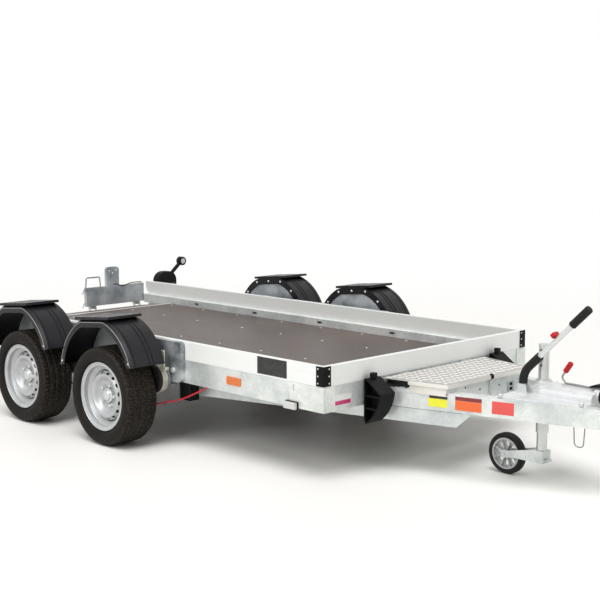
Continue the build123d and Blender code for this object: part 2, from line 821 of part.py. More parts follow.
def console_plan(rear_x, front_x, grow):
    """Trapezoid seen from above between two stations, grown sideways by an edge width."""
    slope = (console_rear_half - console_front_half) / console_length
    rear = console_rear_half + grow - slope * (rear_x - lid_rear_x)
    front = console_rear_half + grow - slope * (front_x - lid_rear_x)
    return [(rear_x, -rear), (front_x, -front), (front_x, front), (rear_x, rear)]


def between_beams(rear_x, front_x, gap):
    """Trapezoid between the drawbar beams' inner faces, a gap away from them."""
    reach = drawbar_width * slant_width + gap
    rear, front = beam_y(rear_x) + reach, beam_y(front_x) + reach
    return [(rear_x, rear), (front_x, front), (front_x, -front), (rear_x, -rear)]


def console_box():
    """Open-topped sheet box that stands between the beams and reaches over them, with its hinge pins."""
    sheet = console_sheet
    back, front = console_rear_x, console_front_x
    edge = drawbar_top_z + seat_gap
    rim_z = console_top_z - seat_gap
    box = plan_slab(console_plan(back, front, 0), edge, rim_z)
    box += plan_slab(between_beams(back, front, 2), console_bottom_z, edge)
    box -= plan_slab(between_beams(back + sheet, front - sheet, 2 + sheet), console_bottom_z + sheet, edge + sheet)
    box -= plan_slab(console_plan(back + sheet, front - sheet, -sheet), edge + sheet, rim_z + 1)
    box -= block(back + 4 * sheet, back + console_side_opening, -console_rear_half, console_rear_half,
                 edge + 2 * sheet, rim_z + 1)
    for y in (-lid_hinge_y, lid_hinge_y):
        half = lid_hinge_length / 2 + 1
        box += rod_y(lid_hinge_x, lid_hinge_z, lid_pin_diameter / 2, y - half - 4, y + half + 4)
        ear = [(lid_hinge_x - 4, lid_hinge_z + 4), (lid_hinge_x - 4, lid_hinge_z - 6), (back + 1, rim_z - 22),
               (back + 1, rim_z), (lid_hinge_x + 4, lid_hinge_z + 4)]
        box += side_slab(ear, y - half - 4, y - half) + side_slab(ear, y + half, y + half + 4)
    return box


def console_lid():
    """Chequer-plate lid with a skirt on three sides, turning on barrels along its rear edge."""
    low = lid_top_z - lid_sheet
    rear, front = console_rear_x - 1, console_front_x + lid_overhang
    lid = plan_slab(console_plan(rear, front, lid_overhang), low, lid_top_z)
    lid += plan_slab(console_plan(rear + console_side_opening, front, lid_overhang), low - lid_skirt, low)
    inside = console_plan(rear, front - lid_sheet / 2, lid_overhang - lid_sheet / 2)
    lid -= plan_slab(inside, low - lid_skirt - 1, low)
    for y in (-lid_hinge_y, lid_hinge_y):
        half = lid_hinge_length / 2
        lid += block(lid_hinge_x, rear + 1, y - half, y + half, low, lid_top_z)
        lid += rod_y(lid_hinge_x, lid_hinge_z, lid_hinge_diameter / 2, y - half, y + half)
        lid -= rod_y(lid_hinge_x, lid_hinge_z, lid_pin_diameter / 2 + running_clearance, y - half - 1, y + half + 1)
        lid -= block(rear - 9, rear + 9, y + half, y + half + 7, low - 1, lid_top_z + 1)
        lid -= block(rear - 9, rear + 9, y - half - 7, y - half, low - 1, lid_top_z + 1)
    return lid


parts["console_box"] = console_box()
parts["console_lid"] = console_lid()


# Wheel chocks hung on holders in front of the beam

chock_back_x = front_wall_x + chock_stand_off


def chock():
    """Moulded wedge hung nose forward: hollow sides, a middle web, a curved tyre face and a grab knob."""
    x, top = chock_back_x, chock_top_z
    bottom = top - chock_height
    nose_x, nose_z = x + chock_depth, top - chock_height * 0.3
    tip = (x + 18, bottom)
    hollow_face = SagittaArc((nose_x, nose_z), tip, chock_height * 0.09)
    rest = Polyline(tip, (x + 8, bottom), (x, bottom + 34), (x, top), (x + 16, top), (nose_x, nose_z))
    outline = make_face(hollow_face + rest)
    y0, y1 = -chock_centre_y - chock_width / 2, -chock_centre_y + chock_width / 2
    body = side_slab(outline, y0, y1)
    pocket = offset(outline, -chock_sheet)
    web = chock_sheet / 2
    body -= side_slab(pocket, y0 - 1, -chock_centre_y - web)
    body -= side_slab(pocket, -chock_centre_y + web, y1 + 1)
    for share in (0.34, 0.62):
        z = bottom + chock_height * share
        rib = block(x + 2, nose_x, y0 + 4, y1 - 4, z - web, z + web)
        body += rib & side_slab(outline, y0, y1)
    knob = Pos(x + 16, -chock_centre_y, top + chock_knob_height / 2) * Box(chock_knob, chock_knob + 4, chock_knob_height)
    knob = fillet(knob.edges().filter_by(Axis.Z), 5)
    seat = block(x + 3, x + 3 + chock_knob, -chock_centre_y - 15, -chock_centre_y + 15, top - 14, top)
    return body + knob + (seat & side_slab(outline, y0, y1))


def chock_holder():
    """Channel bracket between the front beam and the chock's back."""
    x0, x1 = front_wall_x + seat_gap, chock_back_x - seat_gap
    half = chock_width * 0.36
    path = [(x1, -half), (x0, -half), (x0, half), (x1, half)]
    low, high = wall_bottom_z - chock_holder_foot_drop, wall_bottom_z - chock_holder_top_drop
    channel = plan_slab(folded(path, -chock_holder_sheet), low, high)
    return Pos(0, -chock_centre_y, 0) * channel


parts["wheel_chocks"] = both_sides(chock())


# Overrun device and coupling

def overrun_housing():
    """Cast body on a plate across both beams, bored for the jockey sleeve."""
    rear, front = housing_rear_x, housing_front_x
    low = drawbar_top_z + seat_gap
    top = low + housing_plate
    edge = housing_plate_inset
    plate = plan_slab([(rear, beam_y(rear) + edge), (front, beam_y(front) + edge),
                       (front, -beam_y(front) - edge), (rear, -beam_y(rear) - edge)], low, top)
    back = rear + 6
    outline = [(back, top - 1), (front, top - 1), (front, housing_top_z - housing_fall),
               (rear + housing_ramp_end, housing_top_z), (rear + housing_ramp_start, top + housing_ramp_foot),
               (back, top + housing_ramp_foot / 2)]
    body = side_slab(outline, -housing_half_width, housing_half_width)
    upper = body.edges().filter_by(lambda e: abs((e % 0.5).Y) < 0.01 and e.center().Z > top + 18)
    body = fillet(upper.filter_by(lambda e: abs(abs(e.center().Y) - housing_half_width) < 1), housing_round)
    shoulder_x, shoulder_top = rear + housing_shoulder, housing_top_z - housing_fall - housing_shoulder_drop
    shoulder = block(shoulder_x, front, -housing_shoulder_half_width, housing_shoulder_half_width, top - 1, shoulder_top)
    outer = shoulder.edges().group_by(Axis.Z)[-1].filter_by(lambda e: e.center().X < front - 1)
    body += fillet(outer, housing_round - 2)
    boss = rod_z(jockey_x, 0, jockey_sleeve_diameter / 2 + 10, top - 1, housing_top_z + 7)
    collar = rod_x(0, draw_tube_z, draw_tube_diameter / 2 + 10, front - 20, front + 8)
    bore = rod_z(jockey_x, 0, jockey_sleeve_diameter / 2 + seat_gap, 0, housing_top_z + 50)
    tube_bore = rod_x(0, draw_tube_z, draw_tube_diameter / 2 + seat_gap, front - housing_length / 2, front + 20)
    return plate + body + boss + collar - bore - tube_bore


def bellows():
    """Folded rubber boot over the draw tube."""
    inner = draw_tube_diameter / 2 + seat_gap
    start = housing_front_x + 8 + seat_gap
    pitch = (coupling_rear_x - seat_gap - start) / bellows_folds
    points = [(start, inner)]
    for i in range(bellows_folds):
        x = start + i * pitch
        points += [(x, inner + bellows_low), (x + pitch / 2, inner + bellows_high)]
    end = start + bellows_folds * pitch
    points += [(end, inner + bellows_low), (end, inner)]
    boot = revolve(Polygon(*points, align=None), Axis.X, 360)
    return Pos(0, 0, draw_tube_z) * boot


def coupling_head():
    """Head with its ball socket below, carried by the draw tube."""
    nose = coupling_nose_radius
    low, top = draw_tube_z - coupling_half_height, draw_tube_z + coupling_half_height
    tube = rod_x(0, draw_tube_z, draw_tube_diameter / 2, housing_front_x - 0.47 * housing_length, coupling_rear_x + 30)
    sleeve = rod_x(0, draw_tube_z, coupling_half_height - 2, coupling_rear_x, coupling_ball_x - nose)
    neck = Pos(coupling_ball_x - 60, 0) * Rectangle(30, 2 * coupling_half_width - 16)
    bowl = Pos(coupling_ball_x, 0) * Circle(nose)
    head = extrude(Pos(0, 0, low) * make_hull((neck + bowl).edges()), top - low)
    head = fillet(head.edges().group_by(Axis.Z)[-1], 12)
    radius = ball_socket_diameter / 2
    centre = low + ball_socket_wall
    socket = rod_z(coupling_ball_x, 0, radius, low - 10, centre) + Pos(coupling_ball_x, 0, centre) * Sphere(radius)
    return tube + sleeve + head - socket


def coupling_handle():
    """Moulded lever that lies back over the bellows."""
    top = draw_tube_z + coupling_half_height + seat_gap
    x = coupling_ball_x
    hub_x, tip_x = x - handle_hub, x - handle_length
    high = top + handle_height
    outline = [(x + 14, top), (x + 8, top + 12), (hub_x, high), (tip_x + 32, high - 2), (tip_x, top + 8),
               (tip_x + 4, top + 1), (tip_x + 40, top + 7), (hub_x - 40, top + 6), (hub_x - 10, top)]
    lever = side_slab(outline, -handle_width / 2, handle_width / 2)
    return fillet(lever.edges().filter_by(Axis.Y).group_by(Axis.X)[0], 3)


def turned_rod(points, diameter, bore=0.0):
    """Round bar or tube along two straight runs joined by an arc."""
    line = FilletPolyline(*points, radius=lever_bend_radius)
    face = Circle(diameter / 2) - Circle(bore / 2) if bore else Circle(diameter / 2)
    return sweep(Plane(origin=line @ 0, z_dir=line % 0) * face, path=line)


lever_x = housing_rear_x + lever_ahead_of_housing
lever_foot = (lever_x, drawbar_top_z + lever_foot_rise)
lever_bend = (lever_x, drawbar_top_z + lever_bend_rise)
lever_reach = math.cos(math.radians(lever_angle)), math.sin(math.radians(lever_angle))


def along_lever(distance, lift=0.0):
    """A point on the lever's upper run, at a distance from the bend and lifted square to it."""
    x = lever_bend[0] + lever_reach[0] * distance - lever_reach[1] * lift
    z = lever_bend[1] + lever_reach[1] * distance + lever_reach[0] * lift
    return x, lever_y, z


def handbrake_lever():
    """Pivot cheeks on the housing plate, the pin, and the bent lever tube."""
    foot_x, foot_z = lever_foot
    base = drawbar_top_z + housing_plate + 2 * seat_gap
    route = [(foot_x, lever_y, foot_z), (lever_bend[0], lever_y, lever_bend[1]), along_lever(lever_run + lever_stub)]
    lever = turned_rod(route, lever_tube_diameter)
    reach = lever_cheek_gap + lever_cheek + 1
    lever += rod_y(foot_x, foot_z, lever_pin_diameter / 2, lever_y - reach, lever_y + reach)
    high = foot_z + lever_pin_diameter
    cheek = [(foot_x - 30, base), (foot_x + 34, base), (foot_x + 22, high), (foot_x - 18, high)]
    for y in (lever_y - lever_cheek_gap - lever_cheek, lever_y + lever_cheek_gap):
        lever += side_slab(cheek, y, y + lever_cheek)
    return lever


def lever_covers():
    """Rubber sleeve over the bend and the moulded grip at the end."""
    bore = lever_tube_diameter + 2 * seat_gap
    sleeve = turned_rod([(lever_foot[0], lever_y, lever_foot[1] + 18), (lever_bend[0], lever_y, lever_bend[1]),
                         along_lever(lever_sleeve_run)], lever_sleeve_diameter, bore)
    start, end = Vector(*along_lever(lever_run)), Vector(*along_lever(lever_run + lever_grip_length))
    grip_plane = Plane(origin=start, z_dir=end - start)
    grip = extrude(grip_plane * Circle(lever_grip_diameter / 2), (end - start).length)
    grip = fillet(grip.edges(), 6)
    hollow = extrude(Plane(origin=start, z_dir=end - start) * Circle(bore / 2), lever_stub + seat_gap)
    return [sleeve, grip - hollow]


def release_height(x):
    """Middle of the release rod where it lies on the falling top of the housing."""
    share = (x - housing_rear_x - housing_ramp_end) / (housing_length - housing_ramp_end)
    return housing_top_z - housing_fall * share + release_diameter / 2 + seat_gap


release_x = housing_front_x - release_behind_front
release_z = release_height(release_x + 14)
release_route = [(release_x + 14, release_y, release_z), (release_x - 6, release_y, release_z + 26),
                 (release_x + 24, release_y, release_z + 70)]


def release_rod():
    """Thin rod along the housing with an upturned end that carries a red grip."""
    front_x = housing_front_x - 26
    points = [(front_x, release_y, release_height(front_x)), *release_route]
    return bent_rod(points, release_diameter, [8, 12])


def red_grips():
    """Grip on the release rod and the button on the brake lever."""
    tip, before = Vector(*release_route[-1]), Vector(*release_route[-2])
    way = (tip - before).normalized()
    start, end = tip - way * 24, tip + way * 36
    grip = extrude(Plane(origin=start, z_dir=way) * Circle(release_grip_radius), (end - start).length)
    grip = fillet(grip.edges(), 9)
    hollow = extrude(Plane(origin=start, z_dir=way) * Circle(release_diameter / 2 + seat_gap), 24 + seat_gap)
    seat = lever_tube_diameter / 2 + seat_gap
    low, high = Vector(*along_lever(button_at, seat)), Vector(*along_lever(button_at, button_lift))
    shape = RectangleRounded(button_width, button_length, button_width / 4)
    button = extrude(Plane(origin=low, z_dir=high - low) * shape, (high - low).length)
    button -= turned_rod([(lever_foot[0], lever_y, lever_foot[1]), (lever_bend[0], lever_y, lever_bend[1]),
                          along_lever(lever_run)], lever_tube_diameter + 2 * seat_gap)
    return [grip - hollow, button]


parts["overrun_housing"] = overrun_housing()
parts["bellows"] = bellows()
parts["coupling_head"] = coupling_head()
parts["coupling_handle"] = coupling_handle()
parts["handbrake_lever"] = together([handbrake_lever(), release_rod()])
parts["lever_covers"] = together(lever_covers())
parts["red_grips"] = together(red_grips())


# Jockey wheel: the leg slides in a fixed sleeve, the fork swivels under it

def jockey_sleeve():
    bore = jockey_leg_diameter / 2 + jockey_slide_gap
    outer = jockey_sleeve_diameter / 2
    top = housing_top_z + 12
    tube = rod_z(jockey_x, 0, outer, jockey_sleeve_bottom_z, top)
    lip = rod_z(jockey_x, 0, outer + 4, housing_top_z + 7 + seat_gap, top)
    return tube + lip - rod_z(jockey_x, 0, bore, 0, top + 10)


def jockey_leg():
    """Tube with pin holes near its top and the kingpin for the fork below."""
    radius = jockey_leg_diameter / 2
    foot = fork_top_z + seat_gap
    leg = rod_z(jockey_x, 0, radius, foot, jockey_leg_top_z)
    leg -= rod_z(jockey_x, 0, radius - jockey_leg_wall, foot + 8, jockey_leg_top_z - 4)
    for i in range(3):
        drop = jockey_hole_drop + i * jockey_hole_pitch
        leg -= rod_y(jockey_x, jockey_leg_top_z - drop, jockey_hole_radius, -radius - 1, radius + 1)
    crown = 6.0
    pin = rod_z(jockey_x, 0, kingpin_diameter / 2, fork_top_z - crown - 1, foot)
    head = rod_z(jockey_x, 0, kingpin_diameter / 2 + 7, fork_top_z - crown - 9, fork_top_z - crown - 1)
    return leg + pin + head


def jockey_fork():
    """Two cheeks trailing back to the wheel axle, joined under the leg, with a towing eye in front."""
    axle_x = jockey_x - jockey_trail
    axle_z = jockey_wheel_diameter / 2
    front = jockey_x + 28
    outline = [(axle_x - 14, axle_z - 16), (axle_x + 70, fork_bottom_z), (front, fork_bottom_z), (front, fork_top_z),
               (jockey_x - 34, fork_top_z), (axle_x + 30, axle_z + 22), (axle_x - 14, axle_z + 16)]
    half = fork_gap / 2
    cheeks = side_slab(outline, -half - fork_plate, -half) + side_slab(outline, half, half + fork_plate)
    crown = block(jockey_x - 34, front, -half - 1, half + 1, fork_top_z - 6, fork_top_z)
    front_plate = block(front - 5, front, -half - 1, half + 1, fork_bottom_z, fork_top_z)
    axle = rod_y(axle_x, axle_z, jockey_axle_diameter / 2, -half - fork_plate - 6, half + fork_plate + 6)
    eye = Pos(front + 13, 0, fork_bottom_z + 16) * (Cylinder(15, 6) - Cylinder(9, 8))
    bore = rod_z(jockey_x, 0, kingpin_diameter / 2 + running_clearance, fork_top_z - 10, fork_top_z + 10)
    return cheeks + crown + front_plate + axle + eye - bore


def jockey_wheel():
    """Spoked plastic rim and its solid tyre."""
    half = jockey_wheel_width / 2
    seat = jockey_rim_diameter / 2
    outer = jockey_wheel_diameter / 2
    tyre_ring = spun([(seat + seat_gap, -half + 4), (outer - 6, -half), (outer, -half + 9), (outer, half - 9),
                      (outer - 6, half), (seat + seat_gap, half - 4)], 2.5)
    bore = jockey_axle_diameter / 2 + running_clearance
    hub_half = fork_gap / 2 - 1
    ring = spun([(seat - 8, -half + 3), (seat, -half + 3), (seat, half - 3), (seat - 8, half - 3)])
    hub = spun([(bore, -hub_half), (17, -hub_half), (19, -hub_half + 4), (19, hub_half - 4), (17, hub_half),
                (bore, hub_half)])
    web = spun([(18, -4), (seat - 7, -4), (seat - 7, 4), (18, 4)])
    slots = Plane.XZ * (Sketch() + PolarLocations((seat + 14) / 2, 8) * SlotOverall(32, 17))
    web -= extrude(slots, 40, both=True)
    spoke = Pos((seat + 12) / 2, 0, 0) * Box(seat - 24, 2 * half - 14, 5)
    spokes = [Rot(0, 22.5 + 45 * i, 0) * spoke for i in range(8)]
    rim_piece = ring + hub + web + spokes
    place = Pos(jockey_x - jockey_trail, 0, outer)
    return place * rim_piece, place * tyre_ring


parts["jockey_sleeve"] = jockey_sleeve()
parts["jockey_leg"] = jockey_leg()
parts["jockey_fork"] = jockey_fork()
parts["jockey_rim"], parts["jockey_tyre"] = jockey_wheel()


# Ramp flaps hinged behind the tail, the left one up and the right one folded down

flap_front_x = bed_rear_x - flap_gap
flap_hinge_x = flap_front_x - flap_depth / 2
knuckle_ys = (flap_inner_y + 60, flap_inner_y + flap_width - 60)
knuckle_half = 20.0
ear_thickness = 8.0


def ramp_flap():
    """Pan with its sheet forward, hinge lugs below, a grab handle, a post and two latch rods."""
    y0, y1 = flap_inner_y, flap_inner_y + flap_width
    front, back = flap_front_x, flap_front_x - flap_depth
    low = flap_hinge_z + flap_foot_gap + 2
    top = low + flap_height
    sheet = flap_sheet
    pan = block(back, front, y0, y1, low, top)
    pan -= block(back - 1, front - sheet, y0 + sheet, y1 - sheet, low + sheet, top - sheet)
    middle = (y0 + y1) / 2
    pan += block(back + 6, front - 1, middle - 2, middle + 2, low + 1, top - 1)
    for y in knuckle_ys:
        lug = side_slab([(flap_hinge_x - 9, flap_hinge_z), (flap_hinge_x + 9, flap_hinge_z),
                         (flap_hinge_x + 9, low + 1), (flap_hinge_x - 9, low + 1)], y - knuckle_half, y + knuckle_half)
        lug += rod_y(flap_hinge_x, flap_hinge_z, 9, y - knuckle_half, y + knuckle_half)
        pan += lug - rod_y(flap_hinge_x, flap_hinge_z, flap_pin_radius + running_clearance, y0, y1)
    x = flap_hinge_x
    a, b = y0 + 4, y0 + 4 + flap_handle_width
    rise = top + flap_handle_rise
    pan += bent_rod([(x, a, top - 2), (x, a + 6, rise), (x, b - 6, rise), (x, b, top - 2)], flap_rod, [12, 12])
    post_y = y0 + flap_post_offset
    half = flap_post_width / 2
    face = Pos(post_y, top + flap_post_rise / 2) * Rectangle(flap_post_width, flap_post_rise)
    face = fillet(face.vertices().group_by(Axis.Y)[-1], 26)
    post = cross_slab(face, x - flap_post_depth / 2, x + flap_post_depth / 2)
    post -= cross_slab(offset(face, -sheet), x - flap_post_depth, x + flap_post_depth / 2 - sheet)
    for across, drop in ((-half + 24, 26), (half - 24, 26), (0, 44)):
        post -= rod_x(post_y + across, top + flap_post_rise - drop, 4.5, x - flap_post_depth, x + flap_post_depth)
    pan += Pos(0, 0, -1) * post
    for z in (top - 14, low + 26):
        pan += bent_rod([(x, y0 + 2, z), (x, y0 - 12, z), (x, y0 - 26, z - 34)], 8.0, [6])
    return pan


def hinge_ear(y):
    """Two cheeks behind the rear beam with the fixed pin that a flap's lug turns on."""
    start, end = y - knuckle_half - 1, y + knuckle_half + 1
    eye = Pos(flap_hinge_x, flap_hinge_z) * Circle(11)
    base = Pos(bed_rear_x - 1.5, sill_bottom_z + 10) * Rectangle(2, 18)
    root = Pos(bed_rear_x, sill_bottom_z + 10) * Rectangle(5, 18)
    cheek = make_hull((eye + base).edges()) + root
    pin = rod_y(flap_hinge_x, flap_hinge_z, flap_pin_radius, start - ear_thickness - 2, end + ear_thickness + 2)
    return pin + side_slab(cheek, start - ear_thickness, start) + side_slab(cheek, end, end + ear_thickness)


raised = ramp_flap()
hinge_line = Axis((flap_hinge_x, 0, flap_hinge_z), (0, 1, 0))
parts["ramp_flap_left"] = raised
parts["ramp_flap_right"] = on_left(raised).rotate(hinge_line, -flap_folded_angle)
parts["rear_beam"] = rear_beam() + [hinge_ear(side * y) for side in sides.values() for y in knuckle_ys]


# Lamps, reflectors, brake cables

def rear_lamp():
    y0 = -rear_lamp_inner_y - rear_lamp_width
    z0 = rear_lamp_top_z - rear_lamp_height
    face = Pos(y0 + rear_lamp_width / 2, z0 + rear_lamp_height / 2) * Rectangle(rear_lamp_width, rear_lamp_height)
    face = fillet(face.vertices().group_by(Axis.Y)[-1], rear_lamp_round)
    face = fillet(face.vertices().group_by(Axis.Y)[0], 14)
    body = cross_slab(face, bed_rear_x, bed_rear_x + rear_lamp_depth)
    body = fillet(body.edges().group_by(Axis.X)[-1], 8)
    lens = cross_slab(offset(face, -6), bed_rear_x - 12, bed_rear_x - seat_gap)
    return body, lens


def lamp_bracket():
    """Arm from the sill's rear end out to the lamp."""
    x0 = bed_rear_x + rear_lamp_depth + seat_gap
    z0 = rear_lamp_top_z - rear_lamp_height + 16
    outer = -rear_lamp_inner_y - rear_lamp_width + 20
    path = [(-half_bed - seat_gap, z0 - 80), (-half_bed - seat_gap, z0 + 34)]
    foot = cross_slab(folded(path, 5), x0 - 50, x0 + 60)
    arm = block(x0, x0 + 6, outer, -half_bed - 2, z0, z0 + 34) + block(x0, x0 + 26, outer, -half_bed - 2, z0, z0 + 5)
    return foot + arm


def arm_lamp():
    """Rubber arm that leans outwards from the lamp bracket, with a round lamp at its end."""
    x = bed_rear_x + rear_lamp_depth / 2
    base_y, base_z = -rear_lamp_inner_y - rear_lamp_width + 34, rear_lamp_top_z - 24
    end_y, end_z = base_y - arm_lamp_reach, base_z + arm_lamp_rise - 46
    start, end = Vector(x, base_y, base_z), Vector(x, end_y, end_z)
    run = end - start
    bar = extrude(Plane(origin=start, z_dir=run, x_dir=(1, 0, 0)) * RectangleRounded(26, 22, 6), run.length)
    head = rod_x(end_y, end_z, arm_lamp_diameter / 2, x - 22, x + 22)
    head = fillet(head.edges(), 4)
    return bar + head


def soft_radii(points):
    """The largest arcs that the runs of a route leave room for."""
    radii = []
    for a, b, c in zip(points, points[1:], points[2:]):
        first, second = Vector(*b) - Vector(*a), Vector(*c) - Vector(*b)
        turn = math.radians(first.get_angle(second))
        radii.append(0.45 * min(first.length, second.length) / math.tan(turn / 2))
    return radii


def brake_cable(axle_x):
    """Cable from the backplate, through the hanger and up behind the sill's bottom flange."""
    plate = wheel_centre_y + wheel_inset - rim_sheet - seat_gap - drum_depth - backplate_gap - backplate_thickness
    hanger_y = half_bed + axle_plate_depth - 3
    hanger_z = sill_bottom_z - cable_hanger_drop
    clear_z = hub_z - cable_clear_drop
    points = [(axle_x + cable_start_ahead, -plate + 6, hub_z - cable_start_drop),
              (axle_x + cable_clear_ahead, -arm_outer_y - 6, clear_z),
              (axle_x + cable_hanger_ahead * 0.66, -arm_inner_y - 5, (clear_z + hanger_z) / 2),
              (axle_x + cable_hanger_ahead, -hanger_y, hanger_z),
              (axle_x + cable_rise_ahead, -half_bed - 14, sill_bottom_z - cable_rise_drop),
              (axle_x + cable_end_ahead, -half_bed + 22, sill_bottom_z - cable_diameter / 2 - 1)]
    return bent_rod(points, cable_diameter, soft_radii(points))


def cable_hanger(axle_x):
    """Eye that holds the cable below the axle plate."""
    x, y, z = axle_x + cable_hanger_ahead, -half_bed - axle_plate_depth + 3, sill_bottom_z - cable_hanger_drop
    eye = Pos(x, y, z) * Rot(0, 90, 0) * (Cylinder(cable_hanger_radius, 5) - Cylinder(cable_diameter / 2 + 4, 7))
    return eye + block(x - 2.5, x + 2.5, y - 5, y + 5, z + cable_hanger_radius - 3, sill_bottom_z + 2 - seat_gap)


def cable_loop():
    """Wire loop under the right drawbar beam."""
    x0, width, drop = drawbar_nose_x - cable_loop_behind_nose, cable_loop_width, cable_loop_drop
    y = beam_y(x0 + width / 2) + 10
    top = drawbar_bottom_z - seat_gap
    points = [(x0, y, top), (x0 + 5, y, top - drop), (x0 + width - 5, y, top - drop), (x0 + width, y, top)]
    return bent_rod(points, cable_loop_rod, [20, 20])


def front_marker():
    y = -half_bed - seat_gap - sill_sheet
    x0, x1 = marker_lamp_x - marker_lamp_length / 2, marker_lamp_x + marker_lamp_length / 2
    lens = block(x0 + 4, x1 - 4, y - 28, y - 8, sill_bottom_z - 5, sill_bottom_z + 27)
    base = block(x0, x1, y - 8, y - seat_gap, sill_bottom_z - 8, sill_bottom_z + 30)
    return fillet(lens.edges().group_by(Axis.Y)[0], 4), base


def side_reflector():
    plate = Pos(reflector_x, reflector_z) * RectangleRounded(reflector_length, reflector_height, 5)
    return side_slab(plate, -half_bed - seat_gap - 5, -half_bed - seat_gap)


lamp_body, lamp_lens = rear_lamp()
marker_lens, marker_base = front_marker()
parts["lamp_bodies"] = both_sides(lamp_body, arm_lamp(), marker_base)
parts["rear_lenses"] = both_sides(lamp_lens)
parts["marker_lenses"] = both_sides(marker_lens)
parts["side_reflectors"] = both_sides(side_reflector())
parts["brake_cables"] = both_sides(*[brake_cable(x) for x in axle_xs.values()])
hangers = both_sides(chock_holder(), lamp_bracket(), *[cable_hanger(x) for x in axle_xs.values()])
parts["small_brackets"] = together([hangers, cable_loop()])


# Move the origin to the middle of the overall box and write the files

low, high = 1e9, -1e9
for shape in parts.values():
    extent = shape.bounding_box()
    low, high = min(low, extent.min.X), max(high, extent.max.X)
shift = -(low + high) / 2
print(f"{len(parts)} pieces, moved along X by {shift:.3f}, overall length {high - low:.1f}")
os.makedirs("parts", exist_ok=True)
for name, shape in parts.items():
    export_step(Pos(shift, 0, 0) * shape, f"parts/{name}.step")
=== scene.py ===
import math
import bpy
import numpy as np
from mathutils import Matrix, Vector


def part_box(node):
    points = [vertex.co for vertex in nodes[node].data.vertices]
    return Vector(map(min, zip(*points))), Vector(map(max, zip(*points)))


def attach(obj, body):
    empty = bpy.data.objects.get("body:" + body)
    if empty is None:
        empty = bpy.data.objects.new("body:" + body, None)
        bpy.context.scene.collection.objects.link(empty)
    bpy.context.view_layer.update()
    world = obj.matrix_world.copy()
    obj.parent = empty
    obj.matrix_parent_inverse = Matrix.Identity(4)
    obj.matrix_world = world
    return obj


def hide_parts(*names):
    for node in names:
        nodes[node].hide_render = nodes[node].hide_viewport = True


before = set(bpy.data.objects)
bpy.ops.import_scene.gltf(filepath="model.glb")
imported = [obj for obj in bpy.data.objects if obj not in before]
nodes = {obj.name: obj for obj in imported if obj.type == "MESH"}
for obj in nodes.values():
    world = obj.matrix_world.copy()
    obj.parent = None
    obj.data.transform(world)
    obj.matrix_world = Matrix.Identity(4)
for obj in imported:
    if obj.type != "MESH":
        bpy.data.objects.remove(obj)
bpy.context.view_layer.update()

# Looks for the tandem-axle car trailer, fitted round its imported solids.
# Metres, +X forward, +Y left, +Z up. Stations along X are given from the middle between the axles.
trailer = {  # beamY at the front face falls to noseY at the beams' nose
    "frontFace": 1.739, "halfWidth": 0.794, "axleOffset": 0.390, "wheelY": 1.002, "wheelZ": 0.2625,
    "beamY": 0.407, "nose": 2.780, "noseY": 0.118,
}
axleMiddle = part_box("front_wall")[1].x - trailer["frontFace"]
wheelXs = {"front": axleMiddle + trailer["axleOffset"], "rear": axleMiddle - trailer["axleOffset"]}
sideSigns = {"left": 1.0, "right": -1.0}
corners = [(axle, side, sign) for axle in wheelXs for side, sign in sideSigns.items()]
print("frame loaded, axle middle at", round(axleMiddle, 4))


# Camera at the photograph's place, studio floor and lights

view = {
    "place": (5.44723, -4.59739, 1.56047), "pitch": 82.61, "turn": 45.44,
    "lens": 70.69, "sensor": 36.0, "clip": 200.0,
}
cameraData = bpy.data.cameras.new("camera")
cameraData.lens = view["lens"]
cameraData.sensor_width = view["sensor"]
cameraData.clip_end = view["clip"]
camera = bpy.data.objects.new("camera", cameraData)
camera.location = Vector(view["place"]) + Vector((axleMiddle, 0.0, 0.0))
camera.rotation_euler = (math.radians(view["pitch"]), 0.0, math.radians(view["turn"]))
bpy.context.scene.collection.objects.link(camera)
bpy.context.scene.camera = camera
bpy.context.scene.view_settings.view_transform = "Standard"

studio = {
    "worldLight": 0.22, "worldTint": (1.0, 0.98, 0.92),
    "skyPanel": 2.1, "skyPanelSpread": 38.0, "skyPanelTilt": (17.0, 12.0),
    "softboxes": [  # name, place, aimed at, size, power
        ("nearSide", (1.6, -6.5, 4.0), (0.2, 0.0, 0.4), 3.4, 165.0),
        ("frontSide", (7.5, 1.0, 3.8), (0.8, 0.0, 0.4), 3.0, 75.0),
    ],
}


def put(tree, kind, values=None, links=None, **settings):
    # one shader node with its settings, fixed input values and incoming links
    node = tree.nodes.new("ShaderNode" + kind)
    for key, value in settings.items():
        setattr(node, key, value)
    for key, value in (values or {}).items():
        node.inputs[key].default_value = value
    for key, source in (links or {}).items():
        tree.links.new(source, node.inputs[key])
    return node


def seenDirectly(tree):
    # 1 for camera, glossy and transmission rays, so that metal shows the same background
    rays = put(tree, "LightPath").outputs
    first = put(tree, "Math", links={0: rays["Is Camera Ray"], 1: rays["Is Glossy Ray"]}, operation="MAXIMUM")
    every = put(tree, "Math", links={0: first.outputs[0], 1: rays["Is Transmission Ray"]}, operation="MAXIMUM")
    return every.outputs[0]


world = bpy.data.worlds.new("studio")
world.use_nodes = True
bpy.context.scene.world = world
worldTree = world.node_tree
worldTree.nodes.clear()
lit = put(worldTree, "Background", {"Color": (*studio["worldTint"], 1.0), "Strength": studio["worldLight"]})
shown = put(worldTree, "Background", {"Color": (1.0, 1.0, 1.0, 1.0), "Strength": 1.0})
worldLinks = {0: seenDirectly(worldTree), 1: lit.outputs[0], 2: shown.outputs[0]}
worldMix = put(worldTree, "MixShader", links=worldLinks)
put(worldTree, "OutputWorld", links={"Surface": worldMix.outputs[0]})

